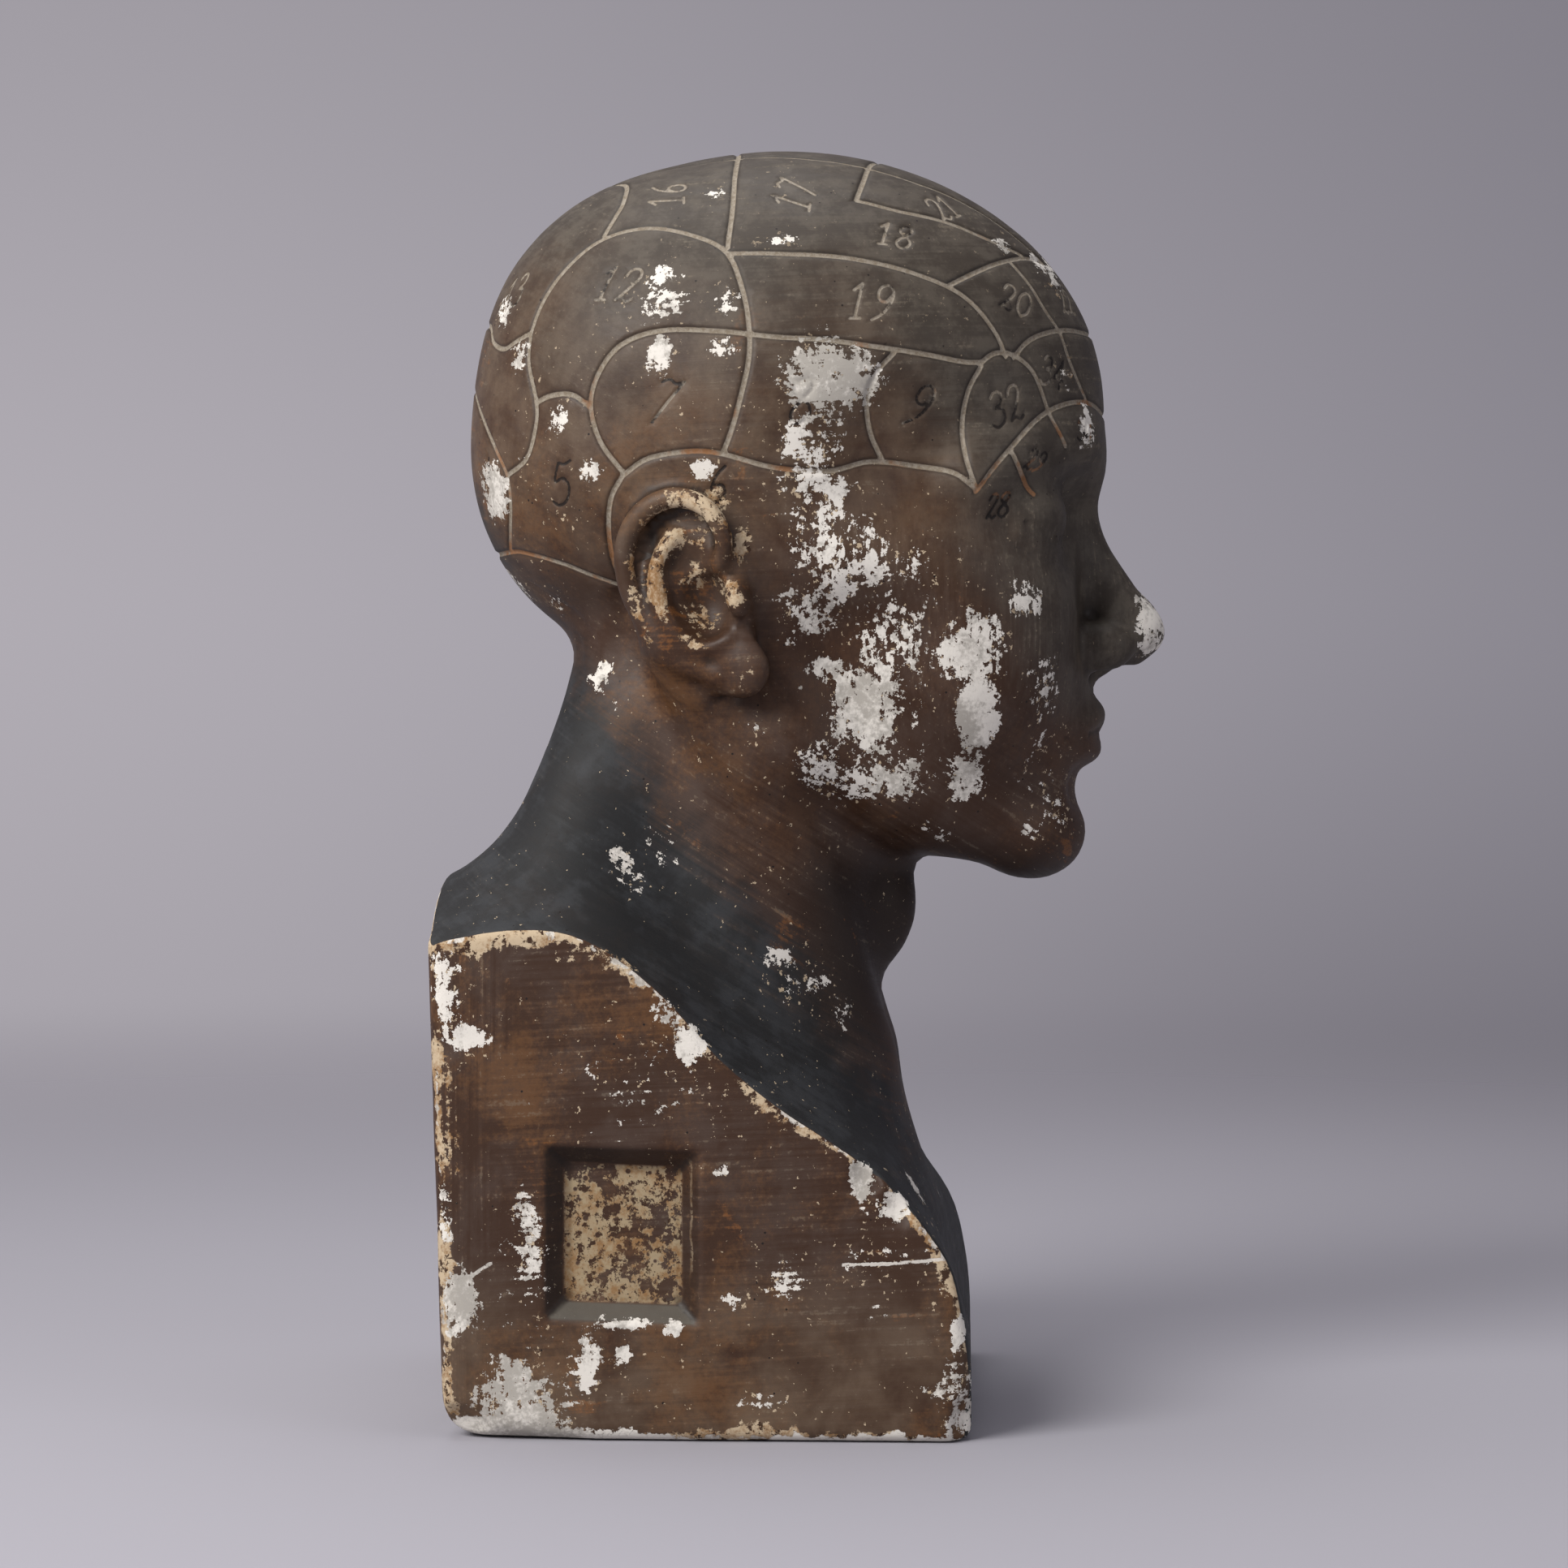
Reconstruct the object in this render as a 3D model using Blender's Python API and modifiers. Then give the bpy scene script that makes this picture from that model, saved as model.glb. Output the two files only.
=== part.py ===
"""A plaster phrenology bust: a bald head with closed eyes on a block-like base with flat sides.

The whole work is one casting, so it is one solid. Metres, +Z up. The face looks along -Y, and the
origin is the centre of the underside. The free form of the head is drawn on a canon of 232 parts
from chin to crown, so its features are shares of the head's height.
"""

import math

import bmesh
import bpy
import numpy as np
from mathutils import Matrix, Vector

# Driving dimensions of the cast, in metres
HEAD_HEIGHT = 0.232
CHIN_ABOVE_FOOT = 0.166
BASE_WIDTH = 0.180
BASE_DEPTH = 0.166
SHOULDER_HEIGHT = 0.154
EAR_TO_BACK = 0.093
EDGE_RADIUS = 0.006
FOOT_RADIUS = 0.004
BACK_LEAN = 0.0055

# The sunk label panel in the right side
PANEL_WIDTH = 0.047
PANEL_HEIGHT = 0.053
PANEL_DEPTH = 0.0065
PANEL_SLOPE = 0.007
PANEL_FROM_BACK = 0.0605
PANEL_FROM_FOOT = 0.0625

# The skin: the steps it is fused at, and how many triangles are kept
SKIN_STEPS = (0.0035, 0.0026)
SKIN_FACES = 7000

# How far the face is set forward of the canon's, for a long head, in canon parts
FACE_AHEAD = 4.0

CANON = 232.0
PART = HEAD_HEIGHT / CANON

# Spare stock round the base, which the block cuts away
STOCK = BASE_WIDTH / 22
HEAD_ORIGIN = np.array((0.0, BASE_DEPTH / 2 - EAR_TO_BACK, CHIN_ABOVE_FOOT))


def blend(a, b, reach):
    """Union of two distances, with a fillet of that reach."""
    h = np.maximum(reach - np.abs(a - b), 0.0) / reach
    return np.minimum(a, b) - h * h * reach / 4


def carve(a, b, reach):
    """The first shape with the second taken out, with a softened rim."""
    return -blend(-a, b, reach)


def within(points, low, high):
    """Which points lie in a box, so that a small feature is worked out only near itself."""
    return np.all((points > np.array(low)) & (points < np.array(high)), axis=1)


def turned(pitch=0.0, yaw=0.0, roll=0.0):
    """Axes of a tilted lump: pitch about X, then roll about Y, then yaw about Z, in degrees."""
    turn = (
        Matrix.Rotation(math.radians(yaw), 3, "Z")
        @ Matrix.Rotation(math.radians(roll), 3, "Y")
        @ Matrix.Rotation(math.radians(pitch), 3, "X")
    )
    return np.array(turn)


def lump(points, centre, radii, axes=None):
    """Distance to an ellipsoid."""
    q = points - np.array(centre)
    if axes is not None:
        q = q @ axes
    radii = np.array(radii, float)
    near = np.linalg.norm(q / radii, axis=1)
    slope = np.linalg.norm(q / radii**2, axis=1)
    return near * (near - 1.0) / np.maximum(slope, 1e-9)


def limb(points, start, end, start_radius, end_radius):
    """Distance to a round bar that tapers."""
    start = np.array(start, float)
    along = np.array(end, float) - start
    share = np.clip((points - start) @ along / (along @ along), 0.0, 1.0)
    gap = np.linalg.norm(points - start - share[:, None] * along, axis=1)
    return gap - start_radius - share * (end_radius - start_radius)


def strand(points, path, radii):
    """Distance to a round bar along a path, with a radius at each of its points."""
    found = [
        limb(points, path[i], path[i + 1], radii[i], radii[i + 1])
        for i in range(len(path) - 1)
    ]
    return np.min(found, axis=0)


def smooth_path(path, steps=4):
    """Points along a Catmull-Rom curve through a path."""
    p = np.array(path, float)
    p = np.vstack([2 * p[0] - p[1], p, 2 * p[-1] - p[-2]])
    found = []
    for i in range(1, len(p) - 2):
        for t in np.arange(steps) / steps:
            found.append(
                0.5
                * (
                    2 * p[i]
                    + (p[i + 1] - p[i - 1]) * t
                    + (2 * p[i - 1] - 5 * p[i] + 4 * p[i + 1] - p[i + 2]) * t**2
                    + (3 * p[i] - p[i - 1] - 3 * p[i + 1] + p[i + 2]) * t**3
                )
            )
    return np.array(found + [p[-2]])


def skull(q):
    """The bald braincase: an egg, wider behind, with flat temples."""
    x, y, z = q[:, 0], q[:, 1], q[:, 2]
    long = np.where(y < -12, 103.0, 96.5)
    high = np.where(z > 150, 82.0, 92.0)
    narrow = 1.0 + 0.07 * np.clip((-y - 10) / 90, 0, 1) - 0.02 * np.clip((y - 10) / 60, 0, 1)
    p = np.stack([x * narrow, (y + 12) / long * 100, (z - 150) / high * 82], axis=1)
    egg = lump(p, (0, 0, 0), (76, 100, 82))
    egg = blend(egg, lump(q, (0, 38, 128), (54, 43, 46)), 22)
    egg = blend(egg, lump(q, (0, 26, 168), (60, 51, 50)), 16)
    return carve(egg, lump(q, (86, -70, 130), (20, 30, 26)), 24)


def jaw(q):
    """Cheeks, muzzle, jaw and chin, before the features."""
    form = lump(q, (0, -50, 84), (58, 54, 62))
    form = blend(form, limb(q, (43, -10, 47), (53, -4, 98), 13, 12), 14)
    form = blend(form, limb(q, (43, -14, 45), (15, -83, 17), 13, 14), 18)
    form = blend(form, lump(q, (0, -48, 36), (40, 44, 28)), 16)
    form = blend(form, lump(q, (0, -78, 52), (31, 29, 32)), 16)
    form = blend(form, lump(q, (0, -90, 15), (19, 15, 14.5)), 12)
    arch = strand(q, [(30, -82, 92), (50, -62, 98), (60, -30, 101)], [11, 10, 7])
    form = blend(form, arch, 20)
    return blend(form, lump(q, (34, -68, 70), (20, 26, 28)), 18)


def eyes(q, form):
    """Brows, sockets and closed lids."""
    brow = strand(q, [(3, -98, 131), (24, -96.5, 136), (42, -83, 134), (52, -68, 127)], [9.5, 8.5, 7, 6])
    form = blend(form, brow, 14)
    form = carve(form, lump(q, (31, -109, 115), (19, 15, 12.5), turned(yaw=16)), 11)
    ball = lump(q, (32, -84.5, 114), (16.5, 14.0, 13.5), turned(yaw=12))
    form = blend(form, ball, 5)
    under = [(18.5, -93, 107.5), (26, -94.5, 104), (33, -94, 103), (41, -90, 104.5), (48, -83, 109)]
    form = blend(form, strand(q, smooth_path(under), [1.8] * 17), 4)
    lash = [(17, -92, 111.5), (25, -95.8, 108.2), (32, -96.2, 106.9), (40, -93.2, 107.8), (48, -86, 111.5)]
    return carve(form, strand(q, smooth_path(lash), [1.1] * 17), 1.5)


def nose(q, form):
    """Bridge, tip, wings and nostrils."""
    bridge = strand(q, [(0, -94, 126), (0, -99, 116), (0, -107, 100), (0, -116, 85)], [8, 7, 8, 9])
    form = blend(form, bridge, 9)
    form = blend(form, lump(q, (0, -119.5, 79), (10.5, 11, 9.5)), 6)
    form = blend(form, lump(q, (10.5, -109.5, 74), (7.5, 11, 8)), 4)
    form = blend(form, limb(q, (0, -119, 72.5), (0, -106, 67.5), 4.5, 4.5), 4)
    return carve(form, lump(q, (7.2, -112, 64.5), (3.0, 6.0, 4.5), turned(yaw=-14)), 2)


def mouth(q, form):
    """Closed lips, philtrum and the hollow over the chin."""
    form = carve(form, limb(q, (0, -117, 64), (0, -118, 57), 3, 3), 4)
    upper = smooth_path([(0, -106.2, 51.2), (5, -106.6, 52.6), (13, -103.5, 50.4), (24, -93, 46.8)])
    lower = smooth_path([(0, -104.6, 41.6), (6, -104.2, 41.4), (14, -101, 42.4), (23, -93, 45.6)])
    form = blend(form, strand(q, upper, np.interp(np.arange(13), [0, 8, 12], [5.2, 4.2, 1.2])), 4)
    form = blend(form, strand(q, lower, np.interp(np.arange(13), [0, 8, 12], [5.8, 4.6, 1.4])), 4)
    seam = smooth_path([(0, -111.2, 46.4), (6, -110.8, 47.0), (15, -106, 46.0), (25.5, -95, 45.2)])
    form = carve(form, strand(q, seam, [0.9] * 13), 1.8)
    return carve(form, limb(q, (0, -111, 28.5), (12, -106, 29.5), 4.0, 3.0), 10)


EAR_PLACE = (66.5, 9.0, 90.0)
EAR_AXES = turned(pitch=-15, yaw=20, roll=8)


def ear_frame(q):
    """Points as seen from the ear: forward, up and outward from the ear's middle."""
    p = (q - np.array(EAR_PLACE)) @ EAR_AXES
    return np.stack([-p[:, 1], p[:, 2], p[:, 0]], axis=1)


EAR_RIM = smooth_path(
    [(2, 2, 0.5), (9, 7, 3), (13.5, 15, 4), (11, 25, 5), (2, 30.5, 5.5),
     (-9, 29, 6), (-17.5, 21, 6.5), (-20.5, 8, 6.5), (-18, -6, 5.5), (-11.5, -17, 4.5), (-3, -25, 3)]
)
EAR_RIM_RADII = np.interp(np.arange(len(EAR_RIM)), [0, 8, 20, 32, 40], [2.0, 3.0, 3.6, 3.4, 3.0])


def ear(q, form):
    """Outer ear: plate, rolled rim, inner fold, bowl, tragus and lobe."""
    e = ear_frame(q)
    shape = lump(e, (-3, 3, -1.0), (17, 28, 4.5))
    shape = blend(shape, lump(e, (0, 0, -10), (14, 22, 12)), 8)
    shape = blend(shape, lump(e, (5, -25, 1.0), (9.5, 9.5, 5.0)), 6)
    shape = blend(shape, strand(e, EAR_RIM, EAR_RIM_RADII), 3)
    fold = smooth_path([(3, -14, 3), (-4, -15, 4), (-10, -8, 5), (-12, 2, 5.5), (-9.5, 12, 5), (-3, 19, 3)])
    shape = blend(shape, strand(e, fold, np.interp(np.arange(21), [0, 10, 20], [3.0, 3.8, 3.0])), 3.5)
    form = blend(form, shape, 5)
    form = carve(form, lump(e, (1, -3, 6), (8.5, 10.5, 9.5)), 4)
    form = carve(form, lump(e, (0, 10, 7), (5.5, 5.0, 5.5)), 4)
    return blend(form, lump(e, (11.5, -4.5, 3), (3.6, 6.0, 4.0)), 3)


def head(q):
    """Distance to the head, in canon parts."""
    q = q.copy()
    q[:, 0] = np.sqrt(q[:, 0] ** 2 + 0.25)
    face = q + np.array((0.0, FACE_AHEAD, 0.0))
    form = blend(skull(q), jaw(face), 16)
    for feature, low, high in (
        (eyes, (-1, -140, 85), (72, -50, 156)),
        (nose, (-1, -150, 50), (32, -80, 145)),
        (mouth, (-1, -140, 12), (42, -75, 78)),
    ):
        near = within(face, low, high)
        form[near] = feature(face[near], form[near])
    near = within(q, (36, -40, 35), (120, 65, 145))
    form[near] = ear(q[near], form[near])
    return form


def neck(q):
    """The neck with its straps of muscle, in canon parts."""
    q = q.copy()
    q[:, 0] = np.abs(q[:, 0])
    form = limb(q, (0, 2, 70), (0, 12, -60), 50, 54)
    form = blend(form, limb(q, (20, 33, 68), (42, 54, -14), 16, 28), 16)
    strap = smooth_path([(56, 20, 74), (47, -6, 30), (32, -27, -12), (14, -37, -52)])
    form = blend(form, strand(q, strap, np.interp(np.arange(13), [0, 12], [9, 7])), 10)
    return blend(form, lump(q, (0, -42, -7), (13, 13.5, 20)), 10)


def profile(points, outline):
    """Signed distance in the side plane to a closed outline of (y, z) points."""
    yz = points[:, 1:]
    ends = np.roll(outline, -1, axis=0)
    best = np.full(len(yz), np.inf)
    inside = np.zeros(len(yz), bool)
    for a, b in zip(outline, ends):
        along = b - a
        rel = yz - a
        share = np.clip(rel @ along / (along @ along), 0, 1)
        gap = rel - share[:, None] * along
        best = np.minimum(best, np.einsum("ij,ij->i", gap, gap))
        crosses = (a[1] > yz[:, 1]) != (b[1] > yz[:, 1])
        rise = b[1] - a[1] if abs(b[1] - a[1]) > 1e-12 else 1e-12
        inside ^= crosses & (yz[:, 0] < (yz[:, 1] - a[1]) / rise * along[0] + a[0])
    return np.where(inside, -1.0, 1.0) * np.sqrt(best)


def torso(points):
    """Shoulders and chest: the outline at the flat side and the one at the middle, merged across."""
    back, high = BASE_DEPTH / 2, SHOULDER_HEIGHT
    deep = BASE_DEPTH
    side_top = [
        (-0.06, 0.955), (0.0, 0.975), (0.10, 0.995), (0.18, 1.0), (0.27, 0.99),
        (0.36, 0.945), (0.45, 0.865), (0.54, 0.755), (0.64, 0.665), (0.74, 0.595),
        (0.84, 0.52), (0.92, 0.42), (0.97, 0.33), (1.0, 0.2), (1.02, 0.1),
    ]
    middle_top = [
        (-0.06, 1.07), (0.0, 1.09), (0.2, 1.09), (0.45, 1.0), (0.65, 0.83), (0.76, 0.74), (0.825, 0.65),
        (0.88, 0.55), (0.92, 0.46), (0.95, 0.36), (0.975, 0.26), (1.0, 0.16), (1.02, 0.05),
    ]
    outlines = []
    for top in (side_top, middle_top):
        curve = smooth_path(top, 3) * np.array((-deep, high)) + np.array((back, 0.0))
        frame = [(curve[-1][0], -STOCK), (back + STOCK, -STOCK), (back + STOCK, curve[0][1])]
        outlines.append(np.vstack([curve, frame]))
    across = np.abs(points[:, 0])
    share = np.clip(across / (BASE_WIDTH / 2), 0, 1) ** 2
    side, middle = (profile(points, outline) for outline in outlines)
    return np.maximum(side * share + middle * (1 - share), across - BASE_WIDTH / 2 - STOCK)


def bust(points):
    """Distance to the whole free form, in metres."""
    q = (points - HEAD_ORIGIN) / PART
    form = head(q)
    low = q[:, 2] < 130
    form[low] = blend(form[low], neck(q[low]), 10)
    form *= PART
    low = q[:, 2] < 75
    form[low] = blend(form[low], torso(points[low]), 0.030)
    return form


def form_slope(points):
    """Distance and its gradient, by small steps."""
    step = 2e-5
    value = bust(points)
    slope = np.stack([(bust(points + step * axis) - value) / step for axis in np.eye(3)], axis=1)
    return value, slope


def coordinates(bm):
    return np.array([v.co for v in bm.verts], float)


def place(bm, points):
    for vertex, point in zip(bm.verts, points):
        vertex.co = point


def settle(bm, rounds, most=0.005):
    """Moves every vertex onto the form."""
    points = coordinates(bm)
    for _ in range(rounds):
        value, slope = form_slope(points)
        move = value[:, None] * slope / np.maximum((slope**2).sum(axis=1), 0.1)[:, None]
        length = np.linalg.norm(move, axis=1, keepdims=True)
        points -= move * np.minimum(1.0, most / np.maximum(length, 1e-9))
    place(bm, points)


def relax(bm, rounds):
    every_way = {"use_axis_x": True, "use_axis_y": True, "use_axis_z": True}
    for _ in range(rounds):
        bmesh.ops.smooth_vert(bm, verts=bm.verts, factor=0.5, **every_way)


def new_object(name, bm, collection):
    mesh = bpy.data.meshes.new(name)
    bm.to_mesh(mesh)
    bm.free()
    thing = bpy.data.objects.new(name, mesh)
    collection.objects.link(thing)
    return thing


def baked(thing):
    """A bmesh of the object with its modifiers applied; the object itself is removed."""
    graph = bpy.context.evaluated_depsgraph_get()
    bm = bmesh.new()
    bm.from_object(thing, graph)
    bpy.data.objects.remove(thing, do_unlink=True)
    return bm


def add_lump(bm, centre, radii, axes=None):
    """An ellipsoid of mesh, its centre and radii in canon parts."""
    middle = Vector(HEAD_ORIGIN) + PART * Vector(centre)
    turn = Matrix(axes.tolist()).to_4x4() if axes is not None else Matrix.Identity(4)
    size = Matrix.Diagonal((*(PART * r for r in radii), 1.0))
    where = Matrix.Translation(middle) @ turn @ size
    bmesh.ops.create_icosphere(bm, subdivisions=3, radius=1.0, matrix=where)


def fused(bm, step, collection):
    """One even skin round everything in the bmesh."""
    rough = new_object("rough", bm, collection)
    remesh = rough.modifiers.new("Fuse", "REMESH")
    remesh.mode = "VOXEL"
    remesh.voxel_size = step
    return baked(rough)


def rough_cast():
    """Overlapping lumps near the final surface."""
    bm = bmesh.new()
    for centre, radii in (
        ((0, -12, 150), (76, 98, 83)),
        ((0, 44, 126), (54, 44, 44)),
        ((0, -50, 84), (60, 56, 64)),
        ((0, -46, 38), (50, 50, 34)),
        ((0, -82, 50), (32, 28, 32)),
        ((0, -90, 17), (22, 17, 16)),
        ((0, -110, 92), (9, 16, 26)),
        ((0, -120, 79), (11, 14, 10)),
        ((0, 6, 10), (54, 54, 150)),
    ):
        add_lump(bm, centre, radii)
    for side in (-1, 1):
        add_lump(bm, (side * 34, 52, 10), (30, 34, 90))
        add_lump(bm, (side * 50, 2, 50), (18, 30, 50))
        add_lump(bm, (side * 11, -112, 74), (8.5, 13, 9))
        mirror = np.array((side, 1.0, 1.0))
        lumps = [((-3, 3, 1), (20, 31, 7)), ((4, -24, 1), (10.5, 10.5, 6)), ((0, 0, -8), (15, 24, 12))]
        lumps += [(spot, [radius] * 3) for spot, radius in zip(EAR_RIM[::2], EAR_RIM_RADII[::2])]
        for (ahead, up, out), (long, high, thick) in lumps:
            spot = np.array(EAR_PLACE) + EAR_AXES @ np.array((out, -ahead, up))
            add_lump(bm, spot * mirror, (thick, long, high), EAR_AXES * mirror[:, None] * mirror)
    bmesh.ops.create_cube(bm, size=1.0)
    for vertex in bm.verts[-8:]:
        x, y, z = vertex.co * 2
        top = SHOULDER_HEIGHT * (1.05 if y > 0 else 0.45)
        wide, deep = BASE_WIDTH / 2 + STOCK, BASE_DEPTH / 2 + STOCK
        vertex.co = (x * wide, y * deep, top if z > 0 else -STOCK)
    return bm


def free_form(collection):
    """The skin, fused ever finer and drawn onto the form, then thinned out where it is even."""
    bm = rough_cast()
    for step in SKIN_STEPS:
        bm = fused(bm, step, collection)
        settle(bm, 3)
        relax(bm, 2)
        settle(bm, 2)
        relax(bm, 1)
    cast = new_object("bust", bm, collection)
    thin = cast.modifiers.new("Thin out", "DECIMATE")
    thin.ratio = min(1.0, SKIN_FACES / len(cast.data.polygons) / 2)
    thin.use_collapse_triangulate = True
    return new_object("bust", baked(cast), collection)


def block(collection):
    """The room that the cast may fill: the base's block with rounded edges, and room for the head."""
    half, back, front = BASE_WIDTH / 2, BASE_DEPTH / 2, -BASE_DEPTH / 2
    top = max(CHIN_ABOVE_FOOT + 0.07 * HEAD_HEIGHT, 1.15 * SHOULDER_HEIGHT)
    bm = bmesh.new()
    bmesh.ops.create_cube(bm, size=1.0)
    for vertex in bm.verts:
        x, y, z = (side > 0 for side in vertex.co)
        vertex.co = (half if x else -half, back if y else front, top if z else 0.0)
        if y and not z:
            vertex.co.y -= BACK_LEAN
    upright = [edge for edge in bm.edges if abs(edge.verts[0].co.z - edge.verts[1].co.z) > top / 2]
    bmesh.ops.bevel(bm, geom=upright, offset=EDGE_RADIUS, segments=3, profile=0.5, affect="EDGES")
    foot = [edge for edge in bm.edges if max(v.co.z for v in edge.verts) < 1e-6]
    bmesh.ops.bevel(bm, geom=foot, offset=FOOT_RADIUS, segments=2, profile=0.5, affect="EDGES")
    room = new_object("block", bm, collection)
    under_jaw = CHIN_ABOVE_FOOT - 0.06 * HEAD_HEIGHT
    for name, low, high in (
        ("headroom", (-1.5 * half, 3 * front, top - STOCK), (1.5 * half, 2 * back, top + 1.2 * HEAD_HEIGHT)),
        ("chinroom", (-0.8 * half, 3 * front, under_jaw), (0.8 * half, 0.3 * front, top)),
    ):
        bm = bmesh.new()
        middle = (Vector(low) + Vector(high)) / 2
        size = Matrix.Diagonal((*(Vector(high) - Vector(low)), 1.0))
        bmesh.ops.create_cube(bm, size=1.0, matrix=Matrix.Translation(middle) @ size)
        add_cut(room, new_object(name, bm, collection), "UNION")
    return room


def add_cut(thing, cutter, operation):
    cut = thing.modifiers.new(cutter.name, "BOOLEAN")
    cut.object = cutter
    cut.operation = operation
    cut.solver = "EXACT"
    cutter.hide_render = True
    cutter.display_type = "WIRE"


def panel(collection):
    """The sunk label panel's cutter: a frustum that widens towards the open side."""
    bm = bmesh.new()
    bmesh.ops.create_cube(bm, size=2.0)
    proud = 0.5 * PANEL_DEPTH
    for vertex in bm.verts:
        outer = vertex.co.x < 0
        reach = PANEL_SLOPE * proud / PANEL_DEPTH if outer else -PANEL_SLOPE
        vertex.co.x = -BASE_WIDTH / 2 + (-proud if outer else PANEL_DEPTH)
        vertex.co.y *= PANEL_WIDTH / 2 + reach
        vertex.co.z *= PANEL_HEIGHT / 2 + reach
    bmesh.ops.translate(bm, verts=bm.verts, vec=(0, BASE_DEPTH / 2 - PANEL_FROM_BACK, PANEL_FROM_FOOT))
    return new_object("label_panel", bm, collection)


def plaster():
    material = bpy.data.materials.new("Painted plaster")
    material.use_nodes = True
    shader = material.node_tree.nodes["Principled BSDF"]
    shader.inputs["Base Color"].default_value = (0.082, 0.052, 0.034, 1)
    shader.inputs["Roughness"].default_value = 0.48
    shader.inputs["Metallic"].default_value = 0.0
    return material


def new_collection(name):
    collection = bpy.data.collections.new(name)
    bpy.context.scene.collection.children.link(collection)
    return collection


def build():
    for thing in list(bpy.data.objects):
        bpy.data.objects.remove(thing, do_unlink=True)
    collection = new_collection("Phrenology bust")
    cutters = new_collection("Cutters")
    bust_cast = free_form(collection)
    bust_cast.data.materials.append(plaster())
    add_cut(bust_cast, block(cutters), "INTERSECT")
    add_cut(bust_cast, panel(cutters), "DIFFERENCE")
    bust_cast.data.shade_smooth()
    bust_cast.data.set_sharp_from_angle(angle=math.radians(40))


build()
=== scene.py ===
import math

import bmesh
import bpy
import numpy as np
from mathutils import Matrix, Vector, noise


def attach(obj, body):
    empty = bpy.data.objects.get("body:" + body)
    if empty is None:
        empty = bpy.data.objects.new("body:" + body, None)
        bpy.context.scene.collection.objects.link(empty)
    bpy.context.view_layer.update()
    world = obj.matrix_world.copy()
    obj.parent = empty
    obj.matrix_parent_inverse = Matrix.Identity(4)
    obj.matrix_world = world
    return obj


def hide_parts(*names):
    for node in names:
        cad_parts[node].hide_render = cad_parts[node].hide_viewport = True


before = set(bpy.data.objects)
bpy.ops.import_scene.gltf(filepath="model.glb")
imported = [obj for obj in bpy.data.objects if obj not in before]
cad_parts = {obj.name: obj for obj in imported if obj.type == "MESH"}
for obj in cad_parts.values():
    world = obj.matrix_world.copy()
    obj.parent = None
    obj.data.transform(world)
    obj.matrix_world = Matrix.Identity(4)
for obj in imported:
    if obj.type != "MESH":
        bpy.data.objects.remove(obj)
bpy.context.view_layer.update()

scene = bpy.context.scene

# one plaster head on a block: drawn again as clay, then cut, chipped and painted

castSizes = {
    "headHeight": 0.232,  # chin to crown, metres
    "chinAboveFoot": 0.166,
    "baseWidth": 0.180,
    "baseDepth": 0.166,
    "shoulderHeight": 0.154,
    "earToBack": 0.093,
    "backLean": 0.0055,
    "faceAhead": 4.0,  # in parts of the head
    "cornerRound": 0.0075,
    "footRound": 0.005,
    "wornEdge": 0.0026,
}
panelSizes = {
    "width": 0.047,
    "height": 0.053,
    "depth": 0.0063,
    "slope": 1.08,
    "fromBack": 0.0605,
    "fromFoot": 0.0625,
    "softRim": 0.0010,
}

part = castSizes["headHeight"] / 232  # the head is 232 parts high, like a ruler laid beside it
stock = castSizes["baseWidth"] / 22
headOrigin = np.array((0.0, castSizes["baseDepth"] / 2 - castSizes["earToBack"], castSizes["chinAboveFoot"]))


def merged(a, b, reach):  # union of two distances, with a fillet
    h = np.maximum(reach - np.abs(a - b), 0.0) / reach
    return np.minimum(a, b) - h * h * reach / 4


def hollowed(a, b, reach):  # the first with the second taken out
    return -merged(-a, b, reach)


def common(a, b, reach):  # what both hold, with a rounded edge
    return -merged(-a, -b, reach)


def within(points, low, high):
    return np.all((points > np.array(low)) & (points < np.array(high)), axis=1)


def turned(pitch=0.0, yaw=0.0, roll=0.0):
    turn = (
        Matrix.Rotation(math.radians(yaw), 3, "Z")
        @ Matrix.Rotation(math.radians(roll), 3, "Y")
        @ Matrix.Rotation(math.radians(pitch), 3, "X")
    )
    return np.array(turn)


def lump(points, centre, radii, axes=None):
    q = points - np.array(centre)
    if axes is not None:
        q = q @ axes
    radii = np.array(radii, float)
    near = np.linalg.norm(q / radii, axis=1)
    slope = np.linalg.norm(q / radii**2, axis=1)
    return near * (near - 1.0) / np.maximum(slope, 1e-9)


def limb(points, start, end, startRadius, endRadius):
    start = np.array(start, float)
    along = np.array(end, float) - start
    share = np.clip((points - start) @ along / max(along @ along, 1e-12), 0.0, 1.0)
    gap = np.linalg.norm(points - start - share[:, None] * along, axis=1)
    return gap - startRadius - share * (endRadius - startRadius)


def strand(points, path, radii):
    best = np.full(len(points), np.inf)
    for i in range(len(path) - 1):
        best = np.minimum(best, limb(points, path[i], path[i + 1], radii[i], radii[i + 1]))
    return best


def smoothPath(path, steps=4):
    p = np.array(path, float)
    p = np.vstack([2 * p[0] - p[1], p, 2 * p[-1] - p[-2]])
    found = []
    for i in range(1, len(p) - 2):
        for t in np.arange(steps) / steps:
            found.append(
                0.5
                * (
                    2 * p[i]
                    + (p[i + 1] - p[i - 1]) * t
                    + (2 * p[i - 1] - 5 * p[i] + 4 * p[i + 1] - p[i + 2]) * t**2
                    + (3 * p[i] - p[i - 1] - 3 * p[i + 1] + p[i + 2]) * t**3
                )
            )
    return np.array(found + [p[-2]])


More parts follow.
